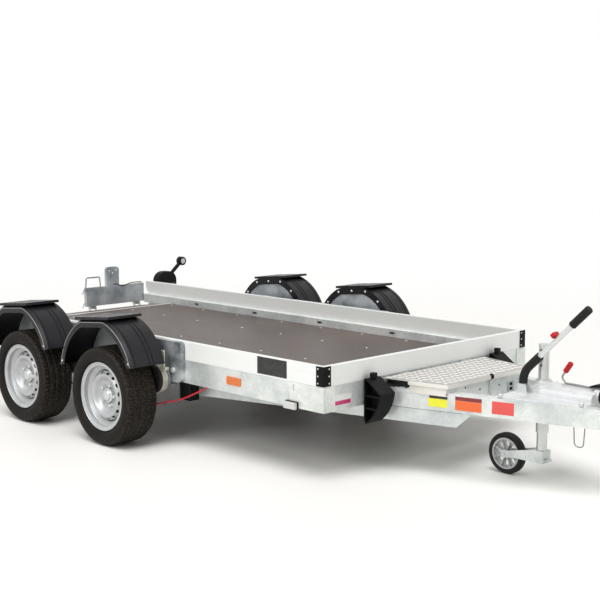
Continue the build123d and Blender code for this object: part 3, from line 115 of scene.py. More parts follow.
panelData = bpy.data.lights.new("skyPanel", "SUN")
panelData.energy = studio["skyPanel"]
panelData.angle = math.radians(studio["skyPanelSpread"])
panel = bpy.data.objects.new("skyPanel", panelData)
panel.rotation_euler = (*[math.radians(tilt) for tilt in studio["skyPanelTilt"]], 0.0)
bpy.context.scene.collection.objects.link(panel)

for name, place, target, size, power in studio["softboxes"]:
    lightData = bpy.data.lights.new(name, "AREA")
    lightData.shape = "SQUARE"
    lightData.size = size
    lightData.energy = power
    light = bpy.data.objects.new(name, lightData)
    light.location = Vector(place) + Vector((axleMiddle, 0.0, 0.0))
    light.rotation_euler = (Vector(target) - Vector(place)).to_track_quat("-Z", "Y").to_euler()
    light.visible_camera = False
    bpy.context.scene.collection.objects.link(light)


# Finishes

def newMaterial(name, color, roughness, metallic=0.0, specular=0.5, coat=0.0):
    material = bpy.data.materials.new(name)
    material.use_nodes = True
    shader = material.node_tree.nodes["Principled BSDF"]
    shader.inputs["Base Color"].default_value = (*color, 1.0)
    shader.inputs["Roughness"].default_value = roughness
    shader.inputs["Metallic"].default_value = metallic
    shader.inputs["Specular IOR Level"].default_value = specular
    shader.inputs["Coat Weight"].default_value = coat
    shader.inputs["Coat Roughness"].default_value = 0.12
    material.diffuse_color = (*color, 1.0)
    return material, material.node_tree, shader


def objectPoint(tree, stretch=(1.0, 1.0, 1.0)):
    coords = put(tree, "TexCoord")
    return put(tree, "Mapping", {"Scale": stretch}, {"Vector": coords.outputs["Object"]}).outputs[0]


def noise(tree, point, scale, detail=4.0):
    return put(tree, "TexNoise", {"Scale": scale, "Detail": detail}, {"Vector": point}).outputs["Fac"]


def blend(tree, factor, dark, pale):
    mix = put(tree, "Mix", data_type="RGBA", links={0: factor})
    mix.inputs[6].default_value = (*dark, 1.0)
    mix.inputs[7].default_value = (*pale, 1.0)
    return mix.outputs[2]


def ramp(tree, value, low, high, outLow=0.0, outHigh=1.0):
    return put(tree, "MapRange", {"From Min": low, "From Max": high, "To Min": outLow, "To Max": outHigh},
               {"Value": value}).outputs[0]


def bumped(tree, shader, height, strength, distance):
    bump = put(tree, "Bump", {"Strength": strength, "Distance": distance}, {"Height": height})
    tree.links.new(bump.outputs[0], shader.inputs["Normal"])


zincLooks = {
    "spangle": 70.0, "clouds": 5.5, "cloudEdge": (0.36, 0.60), "tint": (0.93, 1.04), "gloss": (0.34, 0.44),
}


def galvanised(name, pale, dark, metallic):
    # zinc spangle of about 14 mm, with cloudy patches some 0.2 m across: stains on most finishes, a painted
    # reflection on the axle plates
    material, tree, shader = newMaterial(name, pale, 0.36, metallic)
    point = objectPoint(tree)
    spangle = put(tree, "TexVoronoi", {"Scale": zincLooks["spangle"]}, {"Vector": point})
    grain = put(tree, "SeparateColor", links={0: spangle.outputs["Color"]}).outputs[0]
    clouds = ramp(tree, noise(tree, point, zincLooks["clouds"], 7.0), *zincLooks["cloudEdge"])
    stainsAndReflection = blend(tree, clouds, dark, pale)
    tint = ramp(tree, grain, 0.0, 1.0, *zincLooks["tint"])
    toned = put(tree, "Mix", {0: 1.0}, {6: stainsAndReflection, 7: tint}, data_type="RGBA", blend_type="MULTIPLY")
    tree.links.new(toned.outputs[2], shader.inputs["Base Color"])
    tree.links.new(ramp(tree, grain, 0.0, 1.0, *zincLooks["gloss"]), shader.inputs["Roughness"])
    return material


def brushed(name, color, roughness, metallic, stretch, contrast=0.10):
    # drawn metal: streaks as many to the metre along each axis as the stretch says
    material, tree, shader = newMaterial(name, color, roughness, metallic)
    lines = noise(tree, objectPoint(tree, stretch), 1.0, 5.0)
    dull = [c * (1.0 - contrast) for c in color]
    tree.links.new(blend(tree, ramp(tree, lines, 0.3, 0.7), dull, color), shader.inputs["Base Color"])
    tree.links.new(ramp(tree, lines, 0.3, 0.7, roughness + 0.08, roughness - 0.04), shader.inputs["Roughness"])
    bumped(tree, shader, lines, 0.06, 0.001)
    return material


def moulded(name, color, roughness, grainScale, grainDepth, dust=0.0, specular=0.45):
    # moulded plastic or rubber with a fine leathery grain and slight dust
    material, tree, shader = newMaterial(name, color, roughness, 0.0, specular)
    point = objectPoint(tree)
    grain = noise(tree, point, grainScale, 3.0)
    patches = ramp(tree, noise(tree, point, 9.0, 4.0), 0.40, 0.75)
    dusty = [c * (1.0 - dust) + 0.16 * dust for c in color]
    tree.links.new(blend(tree, patches, color, dusty), shader.inputs["Base Color"])
    tree.links.new(ramp(tree, grain, 0.3, 0.7, roughness - 0.05, roughness + 0.08), shader.inputs["Roughness"])
    bumped(tree, shader, grain, 0.25, grainDepth)
    return material


def prismLens(name, color, pitch):
    # glossy lens over level moulded ribs; the wave node's bands follow sin(20 scale z)
    material, tree, shader = newMaterial(name, color, 0.14, 0.0, 0.6, 0.6)
    waves = {"Scale": math.tau / 20.0 / pitch, "Distortion": 0.0}
    ribs = put(tree, "TexWave", waves, {"Vector": objectPoint(tree)}, bands_direction="Z")
    shade = [c * 0.72 for c in color]
    tree.links.new(blend(tree, ribs.outputs["Fac"], shade, color), shader.inputs["Base Color"])
    bumped(tree, shader, ribs.outputs["Fac"], 0.5, 0.0012)
    return material


deckLooks = {
    "film": (0.105, 0.078, 0.070), "dark": (0.068, 0.050, 0.045), "pale": (0.135, 0.108, 0.098), "mesh": 330.0,
    "scuffs": 1.9, "scuffEdge": (0.42, 0.74), "wear": 38.0, "wearEdge": (0.35, 0.70), "wearShare": 0.35,
    "gloss": (0.34, 0.52),
}


def deckFilm(name):
    # dark brown film pressed with a fine mesh, paler where scuffs + share of the fine wear is high
    material, tree, shader = newMaterial(name, deckLooks["film"], 0.46, 0.0, 0.14)
    point = objectPoint(tree)
    scuffs = ramp(tree, noise(tree, point, deckLooks["scuffs"], 6.0), *deckLooks["scuffEdge"])
    wear = ramp(tree, noise(tree, point, deckLooks["wear"], 5.0), *deckLooks["wearEdge"])
    both = put(tree, "Math", {1: deckLooks["wearShare"]}, {0: wear, 2: scuffs}, operation="MULTIPLY_ADD")
    brown = blend(tree, both.outputs[0], deckLooks["dark"], deckLooks["pale"])
    tree.links.new(brown, shader.inputs["Base Color"])
    mesh = put(tree, "TexVoronoi", {"Scale": deckLooks["mesh"], "Randomness": 0.15}, {"Vector": point})
    tree.links.new(ramp(tree, scuffs, 0.0, 1.0, *deckLooks["gloss"]), shader.inputs["Roughness"])
    bumped(tree, shader, mesh.outputs["Distance"], 0.35, 0.0012)
    return material


treadLooks = {
    "rubber": (0.009, 0.0082, 0.0072), "dust": (0.066, 0.050, 0.036), "from": (0.238, 0.250),
    "specks": 150.0, "speckEdge": (0.50, 0.66),
}


def roadRubber(name, wheelX):
    # black rubber, with specks of brown road dust where sqrt(x^2 + z^2) from the hub reaches the tread
    material, tree, shader = newMaterial(name, (0.010, 0.0095, 0.009), 0.60, 0.0, 0.14)
    point = objectPoint(tree)
    axes = put(tree, "SeparateXYZ", links={0: point})
    upright = put(tree, "CombineXYZ", {1: 0.0}, {0: axes.outputs[0], 2: axes.outputs[2]})
    hub = (wheelX, 0.0, trailer["wheelZ"])
    away = put(tree, "VectorMath", {1: hub}, {0: upright.outputs[0]}, operation="DISTANCE")
    onTread = ramp(tree, away.outputs["Value"], *treadLooks["from"])
    specks = ramp(tree, noise(tree, point, treadLooks["specks"], 5.0), *treadLooks["speckEdge"])
    dust = put(tree, "Math", links={0: onTread, 1: specks}, operation="MULTIPLY")
    dusty = blend(tree, dust.outputs[0], treadLooks["rubber"], treadLooks["dust"])
    tree.links.new(dusty, shader.inputs["Base Color"])
    bumped(tree, shader, noise(tree, point, 260.0, 3.0), 0.25, 0.0007)
    return material


rimLooks = {
    "flake": 900.0, "flakeTint": (0.92, 1.05),
    "grime": 16.0, "grimeEdge": (0.46, 0.80), "grimeMost": 0.45, "grimeTone": (0.30, 0.30, 0.29),
}


def rimPaint(name, color):
    # silver paint with fine flake and a little grime
    material, tree, shader = newMaterial(name, color, 0.38, 0.30)
    point = objectPoint(tree)
    flake = ramp(tree, noise(tree, point, rimLooks["flake"], 2.0), 0.3, 0.7, *rimLooks["flakeTint"])
    paint = put(tree, "Mix", data_type="RGBA", blend_type="MULTIPLY", links={7: flake})
    paint.inputs[0].default_value = 1.0
    paint.inputs[6].default_value = (*color, 1.0)
    patches = noise(tree, point, rimLooks["grime"], 5.0)
    grime = ramp(tree, patches, *rimLooks["grimeEdge"], 0.0, rimLooks["grimeMost"])
    mix = put(tree, "Mix", data_type="RGBA", links={0: grime, 6: paint.outputs[2]})
    mix.inputs[7].default_value = (*rimLooks["grimeTone"], 1.0)
    tree.links.new(mix.outputs[2], shader.inputs["Base Color"])
    bumped(tree, shader, noise(tree, point, 240.0, 2.0), 0.04, 0.001)
    return material


def splitAt(finish, axis, place, low, high):
    # the finish with one tone below a place on an axis and another above it
    tree = finish.node_tree
    shader = tree.nodes["Principled BSDF"]
    coordinate = put(tree, "SeparateXYZ", links={0: objectPoint(tree)}).outputs[axis]
    above = ramp(tree, coordinate, place - 0.0002, place + 0.0002)
    tree.links.new(blend(tree, above, low, high), shader.inputs["Base Color"])


# galvanised: pale tone, dark tone, metallic
frameZinc = galvanised("frameZinc", (0.76, 0.79, 0.77), (0.54, 0.58, 0.58), 0.40)
cornerZinc = galvanised("cornerZinc", (0.84, 0.87, 0.84), (0.66, 0.70, 0.67), 0.30)
dullZinc = galvanised("dullZinc", (0.54, 0.57, 0.59), (0.22, 0.25, 0.28), 0.45)
# axle plates: the near-black navy clouds are a painted reflection, the dark and bright patches of a mirror-like
# look
plateZincPaintedReflection = galvanised("plateZincPaintedReflection", (0.66, 0.69, 0.71), (0.055, 0.065, 0.085), 0.60)

# brushed: colour, roughness, metallic, streaks to the metre along each axis, contrast
brightSteel = brushed("brightSteel", (0.66, 0.68, 0.67), 0.30, 0.60, (18.0, 18.0, 18.0))
castZinc = brushed("castZinc", (0.80, 0.81, 0.82), 0.38, 0.35, (26.0, 26.0, 26.0), 0.12)
wallAlloy = brushed("wallAlloy", (0.88, 0.895, 0.88), 0.42, 0.10, (1.5, 240.0, 240.0), 0.04)
lozengeAlloy = brushed("lozengeAlloy", (0.90, 0.885, 0.85), 0.28, 0.40, (30.0, 30.0, 30.0))
yellowZinc = brushed("yellowZinc", (0.66, 0.64, 0.54), 0.36, 0.35, (40.0, 40.0, 40.0), 0.18)
flankCream = brushed("flankCream", (0.84, 0.81, 0.75), 0.36, 0.15, (20.0, 20.0, 20.0), 0.05)
wireGrey = brushed("wireGrey", (0.20, 0.205, 0.21), 0.36, 0.50, (30.0, 30.0, 30.0))
jockeyRim = brushed("jockeyRim", (0.50, 0.51, 0.51), 0.34, 0.35, (20.0, 20.0, 20.0))

# painted light: the lid's folds are painted paler than its top plate, the lever bright on its lit right side,
# dark on its left
lidPaintedLight = {"top": 0.4612, "folds": (0.80, 0.78, 0.74), "plate": (0.47, 0.455, 0.43)}
lidAlloyPaintedLight = brushed("lidAlloyPaintedLight", lidPaintedLight["plate"], 0.36, 0.45, (30.0, 30.0, 30.0))
splitAt(lidAlloyPaintedLight, 2, lidPaintedLight["top"], lidPaintedLight["folds"], lidPaintedLight["plate"])
leverPaintedLight = {"middle": 0.012, "right": (0.68, 0.70, 0.69), "left": (0.30, 0.31, 0.32)}
leverSteelPaintedLight = brushed("leverSteelPaintedLight", leverPaintedLight["right"], 0.32, 0.50, (18.0, 18.0, 18.0))
splitAt(leverSteelPaintedLight, 1, leverPaintedLight["middle"], leverPaintedLight["right"], leverPaintedLight["left"])

# moulded: colour, roughness, grains to the metre, grain depth, dust, specular
# the pale grey tube along the fenders' outer edge is a painted highlight
edgeHighlightGrey = moulded("edgeHighlightGrey", (0.26, 0.26, 0.27), 0.30, 500.0, 0.0002)
fenderBlack = moulded("fenderBlack", (0.0085, 0.0078, 0.0098), 0.34, 500.0, 0.0004, 0.02, 0.26)
# this black also colours painted shade: the sheets in the sill slots and the strips under the beams
fittingBlackAndShade = moulded("fittingBlackAndShade", (0.005, 0.005, 0.0055), 0.50, 900.0, 0.0004, 0.0, 0.12)
bootRubber = moulded("bootRubber", (0.009, 0.009, 0.009), 0.58, 600.0, 0.0005, 0.0, 0.25)
redPlastic = moulded("redPlastic", (0.50, 0.006, 0.010), 0.34, 900.0, 0.0002, 0.0, 0.28)
cableRed = moulded("cableRed", (0.55, 0.02, 0.03), 0.42, 900.0, 0.0002)
# this finish also colours the near-black ring painted as shade in each wheel's gap between disc and rim
drumIronAndShade = moulded("drumIronAndShade", (0.012, 0.012, 0.013), 0.60, 300.0, 0.0006, 0.04, 0.20)

# prismLens: colour, pitch of the ribs
redLens = prismLens("redLens", (0.45, 0.008, 0.010), 0.00382)
amberLens = prismLens("amberLens", (0.90, 0.20, 0.012), 0.00318)
whiteLens = prismLens("whiteLens", (0.74, 0.74, 0.72), 0.00382)

deckBrown = deckFilm("deckBrown")
rimSilver = rimPaint("rimSilver", (0.50, 0.51, 0.52))
tyreRubbers = {axle: roadRubber("tyreRubber_" + axle, x) for axle, x in wheelXs.items()}

finishes = {
    "arm_boots": bootRubber, "axle_plates": plateZincPaintedReflection, "axle_tubes": dullZinc, "bellows": bootRubber,
    "brake_cables": cableRed, "console_box": frameZinc, "console_lid": lidAlloyPaintedLight, "corner_caps": fittingBlackAndShade,
    "corner_plates": cornerZinc, "coupling_handle": fittingBlackAndShade, "coupling_head": brightSteel,
    "cross_members": dullZinc, "deck_boards": deckBrown, "drawbar_beams": frameZinc, "fender_plates": dullZinc,
    "fenders_left": fenderBlack, "fenders_right": fenderBlack, "front_beam": frameZinc, "front_wall": wallAlloy,
    "handbrake_lever": leverSteelPaintedLight, "jockey_fork": frameZinc, "jockey_leg": brightSteel,
    "jockey_rim": jockeyRim, "jockey_sleeve": brightSteel, "jockey_tyre": bootRubber,
    "kink_strip": lidAlloyPaintedLight, "lamp_bodies": fittingBlackAndShade, "lever_covers": bootRubber,
    "marker_lenses": whiteLens, "overrun_housing": castZinc,
    "ramp_flap_left": dullZinc, "ramp_flap_right": dullZinc, "rear_beam": frameZinc, "rear_lenses": redLens,
    "red_grips": redPlastic, "side_reflectors": amberLens, "side_walls": wallAlloy, "sills": frameZinc,
    "small_brackets": wireGrey, "trailing_arms": yellowZinc, "under_rails": frameZinc,
    "wheel_chocks": fittingBlackAndShade,
}
for axle, side, sign in corners:
    finishes[f"rim_{axle}_{side}"] = rimSilver
    finishes[f"tyre_{axle}_{side}"] = tyreRubbers[axle]
for name, node in nodes.items():
    node.data.materials.clear()
    node.data.materials.append(finishes[name])
print("finishes on", len(nodes), "nodes")


# Grids of points made into pieces

def gridFaces(rows, columns, closedRows=False, closedColumns=False):
    # quads between neighbours of a rows x columns grid, as one index array
    r = np.arange(rows if closedRows else rows - 1)
    c = np.arange(columns if closedColumns else columns - 1)
    a, b = np.meshgrid(r, c, indexing="ij")
    right, down = (b + 1) % columns, (a + 1) % rows
    quads = np.stack([a * columns + b, a * columns + right, down * columns + right, down * columns + b], -1)
    return quads.reshape(-1, 4)


def meshObject(name, points, faces, material, smooth=True):
    mesh = bpy.data.meshes.new(name)
    mesh.from_pydata(np.asarray(points).reshape(-1, 3).tolist(), [], np.asarray(faces).tolist())
    mesh.polygons.foreach_set("use_smooth", np.full(len(mesh.polygons), smooth))
    mesh.materials.append(material)
    mesh.update()
    piece = bpy.data.objects.new(name, mesh)
    bpy.context.scene.collection.objects.link(piece)
    return piece


def makePiece(name, points, faces, material, body="chassis", slot="bright_steel", smooth=True):
    piece = meshObject(name, points, faces, material, smooth)
    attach(piece, body)
    return piece


def repeated(points, faces, places, turns=None):
    # the same small shape at many places: every copy is turned by its 3x3 matrix, then moved
    points, faces, places = np.asarray(points, float), np.asarray(faces), np.asarray(places, float)
    turned = np.einsum("nij,pj->npi", turns, points) if turns is not None else points[None]
    moved = turned + places[:, None, :]
    shifted = faces[None] + (np.arange(len(places)) * len(points))[:, None, None]
    return moved.reshape(-1, 3), shifted.reshape(-1, faces.shape[1])


def turnedForm(profile, sides, closed=False):
    # (radius, height) pairs turned about Z: x = r cos t, y = r sin t, z = h
    profile = np.asarray(profile, float)
    t = np.arange(sides) * math.tau / sides
    points = np.stack([profile[:, 0, None] * np.cos(t), profile[:, 0, None] * np.sin(t),
                       np.repeat(profile[:, 1, None], sides, 1)], -1)
    return points.reshape(-1, 3), gridFaces(len(profile), sides, closed, True)


def axisTurn(direction):
    # matrices that carry +Z onto each row of unit directions
    d = np.atleast_2d(np.asarray(direction, float))
    helper = np.where(np.abs(d[:, 2:3]) > 0.9, [[1.0, 0.0, 0.0]], [[0.0, 0.0, 1.0]])
    x = np.cross(helper, d)
    x /= np.linalg.norm(x, axis=1, keepdims=True)
    return np.stack([x, np.cross(d, x), d], -1)


tiny = 1e-4


def boltForm(acrossFlats, height, washer):
    # hexagon head with a chamfered top on a six-sided washer
    r = acrossFlats / math.sqrt(3)
    return turnedForm([(washer, 0.0), (washer, 0.0016), (r * 1.02, 0.0017), (r, 0.002), (r, height * 0.86),
                       (r * 0.88, height), (tiny, height)], 6)


def domeForm(radius, height, sides=10):
    # rivet head: rings of falling radius under a rounded top
    share = np.array([1.0, 0.98, 0.8, 0.5, 0.02])
    return turnedForm(np.stack([radius * share, height * np.array([0.0, 0.25, 0.62, 0.92, 1.0])], -1), sides)


def tubeForm(path, radius, sides=8):
    # round bar: p(t) + r (u cos a + v sin a), u and v square to the path, ends drawn to a point
    path = np.asarray(path, float)
    along = np.gradient(path, axis=0)
    along /= np.linalg.norm(along, axis=1, keepdims=True)
    turns = axisTurn(along)
    a = np.arange(sides) * math.tau / sides
    ring = radius * np.stack([np.cos(a), np.sin(a), np.zeros(sides)], -1)
    points = path[:, None, :] + np.einsum("nij,kj->nki", turns, ring)
    first = np.repeat(path[:1] + (points[:1, 0] - path[:1]) * 0.01, sides, 0)[None]
    last = np.repeat(path[-1:], sides, 0)[None]
    points = np.concatenate([first, points, last])
    return points.reshape(-1, 3), gridFaces(len(points), sides, False, True)


def roundedBox(low, high, radius):
    # ball of the given radius pulled apart into a box: corner = middle + sign(n) (half - radius) + radius n
    low, high = np.asarray(low, float), np.asarray(high, float)
    polar = np.concatenate([np.linspace(0.002, math.pi / 2, 4), np.linspace(math.pi / 2, math.pi - 0.002, 4)])
    quarter = np.linspace(0.0, math.pi / 2, 4)
    turn = np.concatenate([quarter + q * math.pi / 2 for q in range(4)])
    signs = np.repeat([(1, 1), (-1, 1), (-1, -1), (1, -1)], 4, 0)
    n = np.stack([np.sin(polar)[:, None] * np.cos(turn), np.sin(polar)[:, None] * np.sin(turn),
                  np.repeat(np.cos(polar)[:, None], 16, 1)], -1)
    pull = np.stack([np.repeat(signs[None, :, 0], 8, 0), np.repeat(signs[None, :, 1], 8, 0),
                     np.repeat(np.where(np.arange(8) < 4, 1, -1)[:, None], 16, 1)], -1)
    points = (low + high) / 2 + pull * ((high - low) / 2 - radius) + radius * n
    return points.reshape(-1, 3), gridFaces(8, 16, False, True)


def sheetForm(corner, across, up, thickness, radius=0.002):
    # rectangle from a corner along two edge vectors, raised along their normal; the rim is eased by one ring
    corner, across, up = (np.asarray(v, float) for v in (corner, across, up))
    normal = np.cross(across, up)
    normal /= np.linalg.norm(normal)
    a, b = radius / np.linalg.norm(across), radius / np.linalg.norm(up)
    u = np.array([0.0, a * 0.3, a, 1 - a, 1 - a * 0.3, 1.0])
    v = np.array([0.0, b * 0.3, b, 1 - b, 1 - b * 0.3, 1.0])
    uu, vv = np.meshgrid(u, v, indexing="ij")
    edge = np.minimum(np.minimum(uu / a, (1 - uu) / a), np.minimum(vv / b, (1 - vv) / b))
    lift = thickness * np.clip(edge * 1.6, 0.05, 1.0)
    points = corner + uu[..., None] * across + vv[..., None] * up + lift[..., None] * normal
    return points.reshape(-1, 3), gridFaces(6, 6)


def joined(forms):
    # several point and face lists as one
    points, faces, start = [], [], 0
    for p, f in forms:
        points.append(np.asarray(p).reshape(-1, 3))
        faces.append(np.asarray(f) + start)
        start += len(points[-1])
    return np.concatenate(points), np.concatenate(faces)


def bothSides(form):
    # the form and its mirror image, the image's faces turned round
    points, faces = form
    return joined([form, (np.asarray(points).reshape(-1, 3) * [1.0, -1.0, 1.0], np.asarray(faces)[:, ::-1])])


def atStation(x, y, z):
    return np.array([axleMiddle + x, y, z])


def boxAt(x0, x1, y0, y1, z0, z1, radius):
    # rounded box between two corners, stations from the axle middle
    return roundedBox(atStation(x0, y0, z0), atStation(x1, y1, z1), radius)


# the right drawbar beam's run, and the way out from its outer face
beamSlope = (trailer["beamY"] - trailer["noseY"]) / (trailer["nose"] - trailer["frontFace"])
beamWay, beamOut = np.array([1.0, beamSlope, 0.0]), np.array([beamSlope, -1.0, 0.0])


def beamY(x):
    # distance of the beams' outer faces from the middle plane at a station
    return trailer["beamY"] - beamSlope * (x - trailer["frontFace"])


def bolts(name, places, directions, acrossFlats, height, body="chassis"):
    turns = axisTurn(np.broadcast_to(directions, (len(places), 3)))
    form = repeated(*boltForm(acrossFlats, height, acrossFlats * 0.72), places, turns)
    return makePiece(name, *form, brightSteel, body, smooth=False)


def rivets(name, places, directions, radius, height, material=brightSteel, slot="bright_steel"):
    turns = axisTurn(np.broadcast_to(directions, (len(places), 3)))
    return makePiece(name, *repeated(*domeForm(radius, height), places, turns), material, slot=slot)


def mirrored(points):
    # the same places on both sides of the trailer
    points = np.asarray(points, float)
    return np.concatenate([points, points * [1.0, -1.0, 1.0]])


def outwards(places):
    # the unit direction away from the trailer's middle plane at each place
    return np.sign(places) * [0.0, 1.0, 0.0]


# Road tyres: one closed section carried round the wheel, with grooves cut by a depth formula

tyreShape = {
    "around": 552, "across": 84, "halfTread": 0.081, "crown": 0.2624, "crownDrop": 0.0030,
    "grooves": ((-0.056, 0.0055), (-0.020, 0.0060), (0.020, 0.0060), (0.056, 0.0055)),  # across, half width
    "grooveDepth": 0.0068, "grooveEdge": 0.0009,
    "slotCount": 68, "slotDepth": 0.0050, "slotFrom": 0.0625, "slotSlant": 30.0,
    "sipeCount": 92, "sipeDepth": 0.0030, "sipeTo": 0.050, "sipeSlant": 90.0,
    "ribHeight": 0.0006, "ribWave": 2600.0, "ribFrom": 0.200, "ribTo": 0.246, "ribBeyond": 0.09,
    "sidewall": (  # (distance from the middle plane, radius) from the shoulder in to the bead
        (0.0885, 0.2545), (0.0925, 0.2480), (0.0945, 0.2400), (0.0957, 0.2300), (0.0955, 0.2180),
        (0.0943, 0.2060), (0.0925, 0.1980), (0.0885, 0.1945), (0.0860, 0.1915), (0.0800, 0.1880),
        (0.0765, 0.1830), (0.0752, 0.1740), (0.0740, 0.1660)),
    "inside": ((0.0600, 0.1660), (0.0660, 0.1900), (0.0820, 0.2200), (0.0760, 0.2420), (0.0, 0.2500)),
}


def step(value, edge, softness):
    # soft step from 0 to 1: (1 + tanh((value - edge) / softness)) / 2
    return 0.5 * (1.0 + np.tanh((value - edge) / softness))


def tyreSection():
    # crown radius falls with the cube of the distance from the middle plane; thin rings stand on the sidewalls
    shape = tyreShape
    crown = np.linspace(-shape["halfTread"], shape["halfTread"], shape["across"])
    crownRadius = shape["crown"] - shape["crownDrop"] * (np.abs(crown) / shape["halfTread"]) ** 3
    sidewall, inside = np.array(shape["sidewall"]), np.array(shape["inside"])
    outer = np.concatenate([sidewall[::-1] * [-1.0, 1.0], np.stack([crown, crownRadius], -1), sidewall])
    section = np.concatenate([outer, inside, inside[-2::-1] * [-1.0, 1.0]])
    across, radius = section[:, 0], section[:, 1]
    onRings = (np.cos(radius * shape["ribWave"]) > 0.2) & (radius > shape["ribFrom"]) & (radius < shape["ribTo"])
    across = across + np.sign(across) * shape["ribHeight"] * (onRings & (np.abs(across) > shape["ribBeyond"]))
    onTread = np.zeros(len(section), bool)
    onTread[len(sidewall):len(sidewall) + len(crown)] = True
    return across, radius, onTread


def tyreForm():
    # x = r sin t, z = r cos t, with r = section radius - the deepest of grooves(y), shoulder slots(y, t)
    # and sipes(y, t)
    shape = tyreShape
    across, radius, onTread = tyreSection()
    t = np.arange(shape["around"]) * math.tau / shape["around"]
    y, turn = across[:, None], t[None, :]
    depth = np.zeros((len(across), len(t)))
    for centre, half in shape["grooves"]:
        depth += shape["grooveDepth"] * (1.0 - step(np.abs(y - centre), half, shape["grooveEdge"]))
    slots = step(np.cos(turn * shape["slotCount"] + y * shape["slotSlant"]), 0.72, 0.12)
    depth = np.maximum(depth, shape["slotDepth"] * step(np.abs(y), shape["slotFrom"], 0.0008) * slots)
    sipes = step(np.cos(turn * shape["sipeCount"] + y * shape["sipeSlant"]), 0.86, 0.05)
    depth = np.maximum(depth, shape["sipeDepth"] * sipes * (np.abs(y) < shape["sipeTo"]))
    r = radius[:, None] - depth * onTread[:, None]
    points = np.stack([r * np.sin(turn), np.broadcast_to(y, r.shape), r * np.cos(turn)], -1)
    return points, gridFaces(len(across), len(t), True, True)


tyrePoints, tyreFaces = tyreForm()
for axle, side, sign in corners:
    placed = tyrePoints + [wheelXs[axle], sign * trailer["wheelY"], trailer["wheelZ"]]
    corner = f"{axle}_{side}"
    tread = makePiece("tread_" + corner, placed, tyreFaces, tyreRubbers[axle], "wheel_" + corner, "road_tyre")
    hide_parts("tyre_" + corner)
print("tyres:", len(tyreFaces) * 2, "triangles each")


# Wheels: rolled rim, pressed disc with a ring of slots, drum, hub cap and bolts

wheelShape = {
    "sides": 128, "sheet": 0.0030, "weld": 0.00002,
    "slots": 16, "slotLong": 0.47, "slotWide": 0.72, "bandOut": (0.1315, 0.0440), "bandIn": (0.1165, 0.0600),
    "boltCircle": 0.056, "bolts": 5, "boltTurn": 0.3, "face": 0.0300, "flats": 0.019, "height": 0.013,
}
# sections as (radius, distance out from the wheel's middle plane)
rimSection = [
    (0.1825, 0.0829), (0.1825, 0.0770), (0.1662, 0.0745), (0.1650, 0.0560), (0.1410, 0.0400),
    (0.1410, 0.0040), (0.1650, -0.0160), (0.1660, -0.0745), (0.1825, -0.0770), (0.1825, -0.0829),
    (0.1786, -0.0829), (0.1775, -0.0795), (0.1612, -0.0780), (0.1610, -0.0140), (0.1370, 0.0060),
    (0.1370, 0.0385), (0.1605, 0.0540), (0.1615, 0.0780), (0.1775, 0.0795), (0.1786, 0.0829)]
discEdge = [(0.1366, 0.0200), (0.1340, 0.0230), (0.1325, 0.0320), wheelShape["bandOut"]]
discFace = [wheelShape["bandIn"], (0.1130, 0.0622), (0.1040, 0.0618), (0.0960, 0.0550), (0.0850, 0.0385),
            (0.0740, 0.0300), (0.0394, 0.0300)]
# near-black ring on the floor of the gap between disc and rim: painted shade
gapShadeSection = [(0.1372, 0.0260), (0.1372, 0.0350), (0.1330, 0.0350), (0.1330, 0.0260)]
drumSection = [(0.0395, 0.0157), (0.1020, 0.0157), (0.1020, -0.0403), (0.1140, -0.0403), (0.1140, 0.0217),
               (0.1100, 0.0257), (0.0395, 0.0257)]
hubSection = [(0.0203, -0.0360), (0.0387, -0.0360), (0.0387, 0.0400), (0.0305, 0.0420), (0.0285, 0.0480),
              (0.0250, 0.0530), (0.0140, 0.0555), (tiny, 0.0560), (tiny, 0.0390), (0.0203, 0.0385)]


def softened(section, radius, closed=False, steps=3):
    # rounds each corner c: b(t) = (1 - t)^2 a + 2 t (1 - t) c + t^2 d, with a and d beside it on the two edges
    p = np.asarray(section, float)
    p = np.concatenate([p[-1:], p, p[:1]]) if closed else p
    back, ahead = p[:-2] - p[1:-1], p[2:] - p[1:-1]
    backLong, aheadLong = [np.linalg.norm(v, axis=1, keepdims=True) for v in (back, ahead)]
    reach = np.minimum(radius, 0.45 * np.minimum(backLong, aheadLong))
    start, end = p[1:-1] + back / backLong * reach, p[1:-1] + ahead / aheadLong * reach
    t = np.linspace(0.0, 1.0, steps + 1)[None, :, None]
    arcs = (1 - t) ** 2 * start[:, None] + 2 * t * (1 - t) * p[1:-1][:, None] + t ** 2 * end[:, None]
    arcs = arcs.reshape(-1, 2)
    return arcs if closed else np.concatenate([p[:1], arcs, p[-1:]])


def ringForm(section, radius, sides, turned=False):
    # a closed section with softened corners, carried round the wheel's axis
    section = softened(section, radius, True)
    return turnedForm(section[::-1] if turned else section, sides, True)


